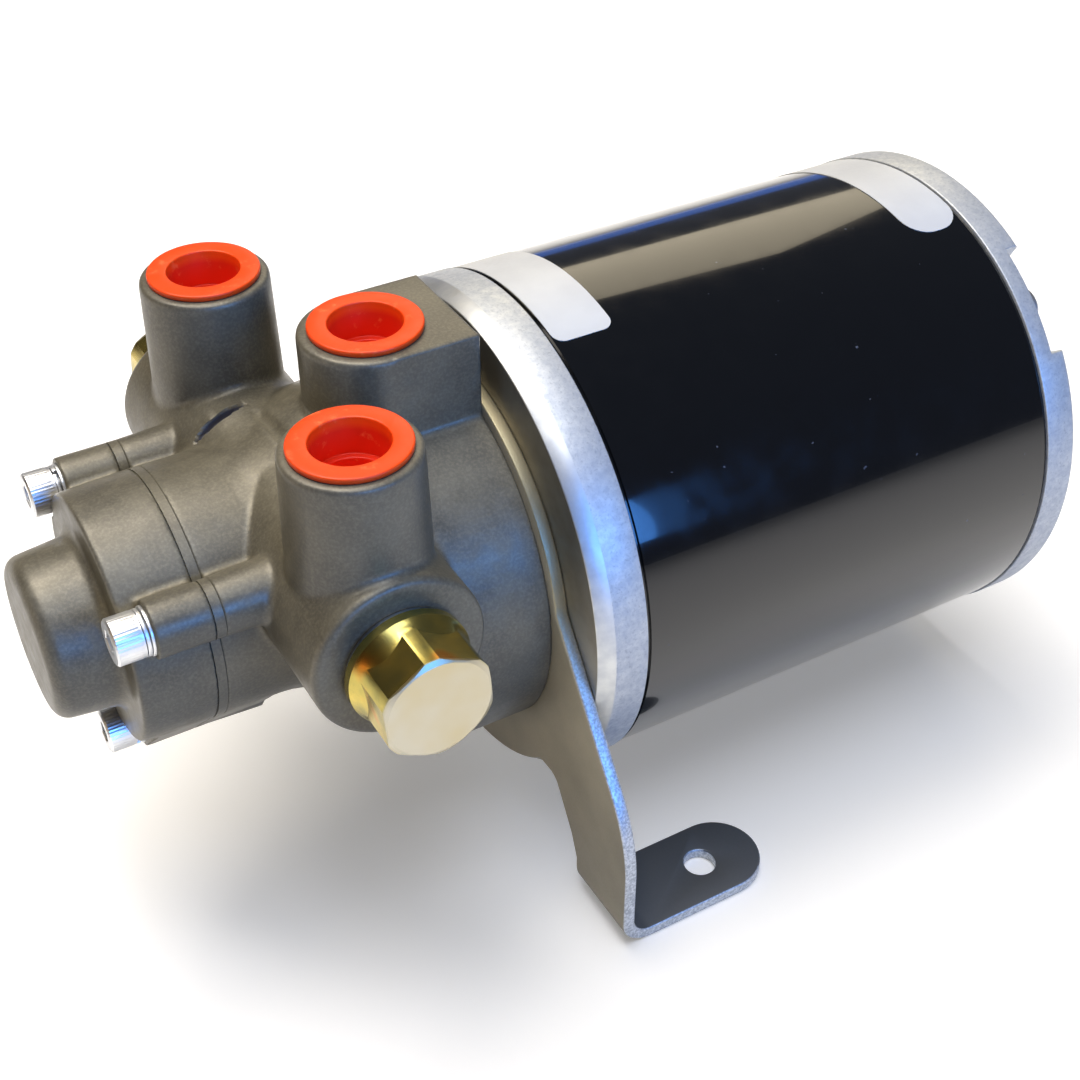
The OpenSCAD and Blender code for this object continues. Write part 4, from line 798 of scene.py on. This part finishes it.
def coverScrews():
    low, high, places = lugPlaces()
    length = high.x - low.x
    head = screw["headLength"]
    radius = screw["head"] / 2
    plain = radius - screw["knurl"]
    knurlEnd = head - screw["collar"]
    bm = bmesh.new()
    bmesh.ops.create_circle(bm, segments=4 * screw["ridges"], radius=radius - screw["headEdge"])
    edges = list(bm.edges)

    # The knurl: every other pair of points round the head stands back
    def knurled(angle):
        step = round(angle / math.radians(360) * 4 * screw["ridges"]) % 4
        return plain if step in (0, 1) else radius

    inner = wallUp(bm, edges, 0, lambda a: hexagonReach(screw["socket"], a) + screw["socketEdge"])
    for depth in (screw["socketEdge"], screw["socketDepth"]):
        inner = wallUp(bm, inner, depth, lambda a: hexagonReach(screw["socket"], a))
    bmesh.ops.contextual_create(bm, geom=inner)
    outer = wallUp(bm, edges, screw["headEdge"], knurled)
    outer = wallUp(bm, outer, knurlEnd, knurled)
    for height in (knurlEnd + screw["runOut"], head):
        outer = wallUp(bm, outer, height, lambda a: plain)
    for height in (head, length):
        outer = wallUp(bm, outer, height, lambda a: screw["shank"] / 2)
    bmesh.ops.contextual_create(bm, geom=outer)
    bmesh.ops.recalc_face_normals(bm, faces=bm.faces)
    turns = [Matrix.Rotation(math.radians(a), 4, "Z") for a in screwTurns]
    repeated(bm, [spot(low.x, y, z, "x") @ turn for (y, z), turn in zip(places, turns)])
    addPiece("coverScrews", bm, "bright_zinc", nodes=["cover_screws"], sharp=28)


# Flat washer with a split ring on it: the ring's section is carried nearly all the way round, and ends
# a little further along
def springWashers():
    low, high = extent("spring_washers")
    inner, outer = washers["inner"] / 2, washers["springOuter"] / 2
    thick = high.x - low.x - washers["flat"]
    bm = bmesh.new()
    ringTop = thick - washers["rise"]
    corners = [(inner, 0, 0), (outer, 0, 0), (outer, 0, ringTop), (inner, 0, ringTop)]
    section = bm.faces.new([bm.verts.new(corner) for corner in corners])
    steps = washers["steps"]
    turn = math.radians(360 - washers["slit"])
    bmesh.ops.spin(bm, geom=[section, *section.edges, *section.verts], cent=(0, 0, 0), axis=(0, 0, 1),
                   dvec=(0, 0, washers["rise"] / steps), angle=turn, steps=steps)
    bmesh.ops.remove_doubles(bm, verts=bm.verts, dist=0.0005)
    bmesh.ops.recalc_face_normals(bm, faces=bm.faces)
    rims = [e for e in bm.edges if len(e.link_faces) == 2 and e.calc_face_angle(0) > math.radians(60)]
    bmesh.ops.bevel(bm, geom=rims, offset=washers["edge"], offset_type="OFFSET", segments=2, profile=0.5,
                    affect="EDGES", clamp_overlap=True, material=-1)
    rim, back = washers["outer"] / 2, thick + washers["flat"]
    joinShape(bm, turned([(inner, thick, washers["flatEdge"]), (rim, thick, washers["edge"]),
                          (rim, back, washers["flatEdge"]), (inner, back, 0)]))
    turns = [Matrix.Rotation(math.radians(a), 4, "Z") for a in washerTurns]
    places = lugPlaces()[2]
    repeated(bm, [spot(low.x, y, z, "x") @ turn for (y, z), turn in zip(places, turns)])
    addPiece("springWashers", bm, "bright_zinc", nodes=["spring_washers"], sharp=30)


coverScrews()
springWashers()
print("caps, plugs and screws made")

# Bare vinyl labels rolled onto the tube, one against each bell
labels = {
    "frontLabel": {"start": 1.0, "width": 12.4, "from": 108, "to": 38, "corner": 2.4},
    "rearLabel": {"start": 82.5, "width": 12.6, "from": 109, "to": 40, "corner": 5.5},
}
vinyl = {"thickness": 0.12, "gap": 0.01, "cuts": 60, "cornerSteps": 8}


def rolledLabels():
    low, high = extent("motor_tube")
    radius = (high.z - low.z) / 2
    axis = (low + high) / 2
    for name, size in labels.items():
        bm = bmesh.new()
        arc = math.radians(size["from"] - size["to"]) * radius
        bmesh.ops.create_grid(bm, x_segments=1, y_segments=1, size=0.5)
        bmesh.ops.scale(bm, vec=(size["width"], arc, 1), verts=bm.verts)
        bmesh.ops.bevel(bm, geom=list(bm.verts), offset=size["corner"], offset_type="OFFSET",
                        segments=vinyl["cornerSteps"], profile=0.5, affect="VERTICES", material=-1)
        for i in range(1, vinyl["cuts"]):
            bmesh.ops.bisect_plane(bm, geom=[*bm.verts, *bm.edges, *bm.faces],
                                   plane_co=(0, arc * (i / vinyl["cuts"] - 0.5), 0), plane_no=(0, 1, 0))
        made = bmesh.ops.extrude_face_region(bm, geom=list(bm.faces))["geom"]
        raised = [v for v in made if isinstance(v, bmesh.types.BMVert)]
        bmesh.ops.translate(bm, vec=(0, 0, vinyl["thickness"]), verts=raised)

        # Rolls the flat label round the tube
        middle = math.radians((size["from"] + size["to"]) / 2)
        centre = low.x + size["start"] + size["width"] / 2
        for v in bm.verts:
            angle = middle - v.co.y / radius
            out = radius + vinyl["gap"] + v.co.z
            v.co = (centre + v.co.x, axis.y + out * math.cos(angle), axis.z + out * math.sin(angle))
        bmesh.ops.recalc_face_normals(bm, faces=bm.faces)
        addPiece(name, bm, "label")


rolledLabels()
print("labels made:", len(labels))

# Camera: solved from the photograph, in the frame's own axes
cameraPlace = {
    "at": (-141.2 * mm, -238.5 * mm, 266.3 * mm),
    "right": (0.8670, -0.4983, -0.0034),
    "down": (-0.3109, -0.5357, -0.7851),
    "ahead": (0.3894, 0.6817, -0.6194),
    "lens": 56.14,
    "sensor": 36,
    "nearest": 10,
}


def setCamera():
    data = bpy.data.cameras.new("camera")
    data.lens = cameraPlace["lens"]
    data.sensor_width = cameraPlace["sensor"]
    data.clip_start = cameraPlace["nearest"] * mm
    camera = bpy.data.objects.new("camera", data)
    axes = [Vector(cameraPlace["right"]), -Vector(cameraPlace["down"]), -Vector(cameraPlace["ahead"])]
    turn = Matrix(axes).transposed().to_4x4()
    camera.matrix_world = Matrix.Translation(cameraPlace["at"]) @ turn
    bpy.context.scene.collection.objects.link(camera)
    bpy.context.scene.camera = camera


# Studio: pale floor, a dim sky that is warmer towards the front of the pump, and soft boxes that look at it
studio = {
    "floor": "#f4f4f4", "floorBounce": "#aba393", "floorGlow": 0.26, "floorSize": 6,
    "skyWarm": "#a08258", "skyPlain": "#e6ecff", "skyLevel": 0.11, "warmEnd": -0.7, "plainFrom": 0.1,
    "target": (0, 0, 0.06), "pumpOnly": ("silhouetteBox", "windowBox"),
    "boxes": [
        # name, place in metres, width, height, watts, tint
        ("keyBox", (-0.2, 0.35, 1.2), 0.7, 0.7, 14.5, "#fff7ec"),
        ("backBox", (0.6, 0.85, 0.8), 0.6, 0.55, 2.3, "#fff0d0"),
        ("silhouetteBox", (0.8, 1.6, 0.14), 0.9, 0.24, 0.7, "#3f74d8"),
        ("frontBox", (-1.1, 0.1, 0.25), 0.5, 0.4, 0.45, "#ffd9a0"),
        ("skyBox", (-0.1, -0.3, 1.15), 0.6, 0.6, 6, "#eef3ff"),
        ("windowBox", (0.1, -1.12, 0.46), 0.9, 0.4, 11, "#4f9aff"),
    ],
}


def setSky():
    world = bpy.data.worlds.new("studio")
    world.use_nodes = True
    tree = world.node_tree
    tree.nodes.clear()
    way = addNode(tree, "TexCoord", {}, "Generated")
    along = addNode(tree, "SeparateXYZ", {"Vector": way}, "X")
    plain = addNode(tree, "MapRange", {
        "Value": along, "From Min": studio["warmEnd"], "From Max": studio["plainFrom"]}, "Result")
    tint = addNode(tree, "Mix", {
        0: plain, 6: linear(studio["skyWarm"]), 7: linear(studio["skyPlain"])}, colourMix, data_type="RGBA")
    sky = addNode(tree, "Background", {"Color": tint, "Strength": studio["skyLevel"]}, "Background")
    addNode(tree, "OutputWorld", {"Surface": sky})
    bpy.context.scene.world = world


# The floor looks white and is reflected white, but throws back less light, so that the pump's underside
# stays dark
def layFloor():
    bm = bmesh.new()
    bmesh.ops.create_grid(bm, x_segments=1, y_segments=1, size=studio["floorSize"])
    mesh = bpy.data.meshes.new("floor")
    bm.to_mesh(mesh)
    bm.free()
    floor = bpy.data.objects.new("floor", mesh)
    bpy.context.scene.collection.objects.link(floor)
    finish, tree, shader, place = newFinish(
        "studioFloor", Roughness=0.9, IOR=1.3, Emission_Color=linear("#ffffff"))
    seen = addNode(tree, "LightPath", {}).outputs
    shown = addNode(tree, "Math", {
        0: seen["Is Camera Ray"], 1: seen["Is Glossy Ray"]}, "Value", operation="MAXIMUM")
    shown = addNode(tree, "Math", {0: shown, 1: seen["Is Transmission Ray"]}, "Value", operation="MAXIMUM")
    tone = addNode(tree, "Mix", {
        0: shown, 6: linear(studio["floorBounce"]), 7: linear(studio["floor"])}, colourMix, data_type="RGBA")
    glow = addNode(tree, "MapRange", {"Value": shown, "To Max": studio["floorGlow"]}, "Result")
    feed(tree, shader, {"Base Color": tone, "Emission Strength": glow})
    mesh.materials.append(finish)
    return floor


# The blue boxes light the pump only, so the floor and the shadow on it stay plain
def hangBoxes(floor):
    pumpOnly = bpy.data.collections.new("pumpOnly")
    pumpOnly.objects.link(floor)
    pumpOnly.collection_objects[0].light_linking.link_state = "EXCLUDE"
    for name, at, width, height, watts, tint in studio["boxes"]:
        light = bpy.data.lights.new(name, "AREA")
        light.shape = "RECTANGLE"
        light.size, light.size_y, light.energy = width, height, watts
        light.color = linear(tint)[:3]
        lamp = bpy.data.objects.new(name, light)
        if name in studio["pumpOnly"]:
            lamp.light_linking.receiver_collection = pumpOnly
        aim = (Vector(studio["target"]) - Vector(at)).to_track_quat("-Z", "Y")
        lamp.matrix_world = Matrix.Translation(at) @ aim.to_matrix().to_4x4()
        bpy.context.scene.collection.objects.link(lamp)


setCamera()
setSky()
hangBoxes(layFloor())
bpy.context.scene.view_settings.view_transform = "Standard"
print("camera and studio set")
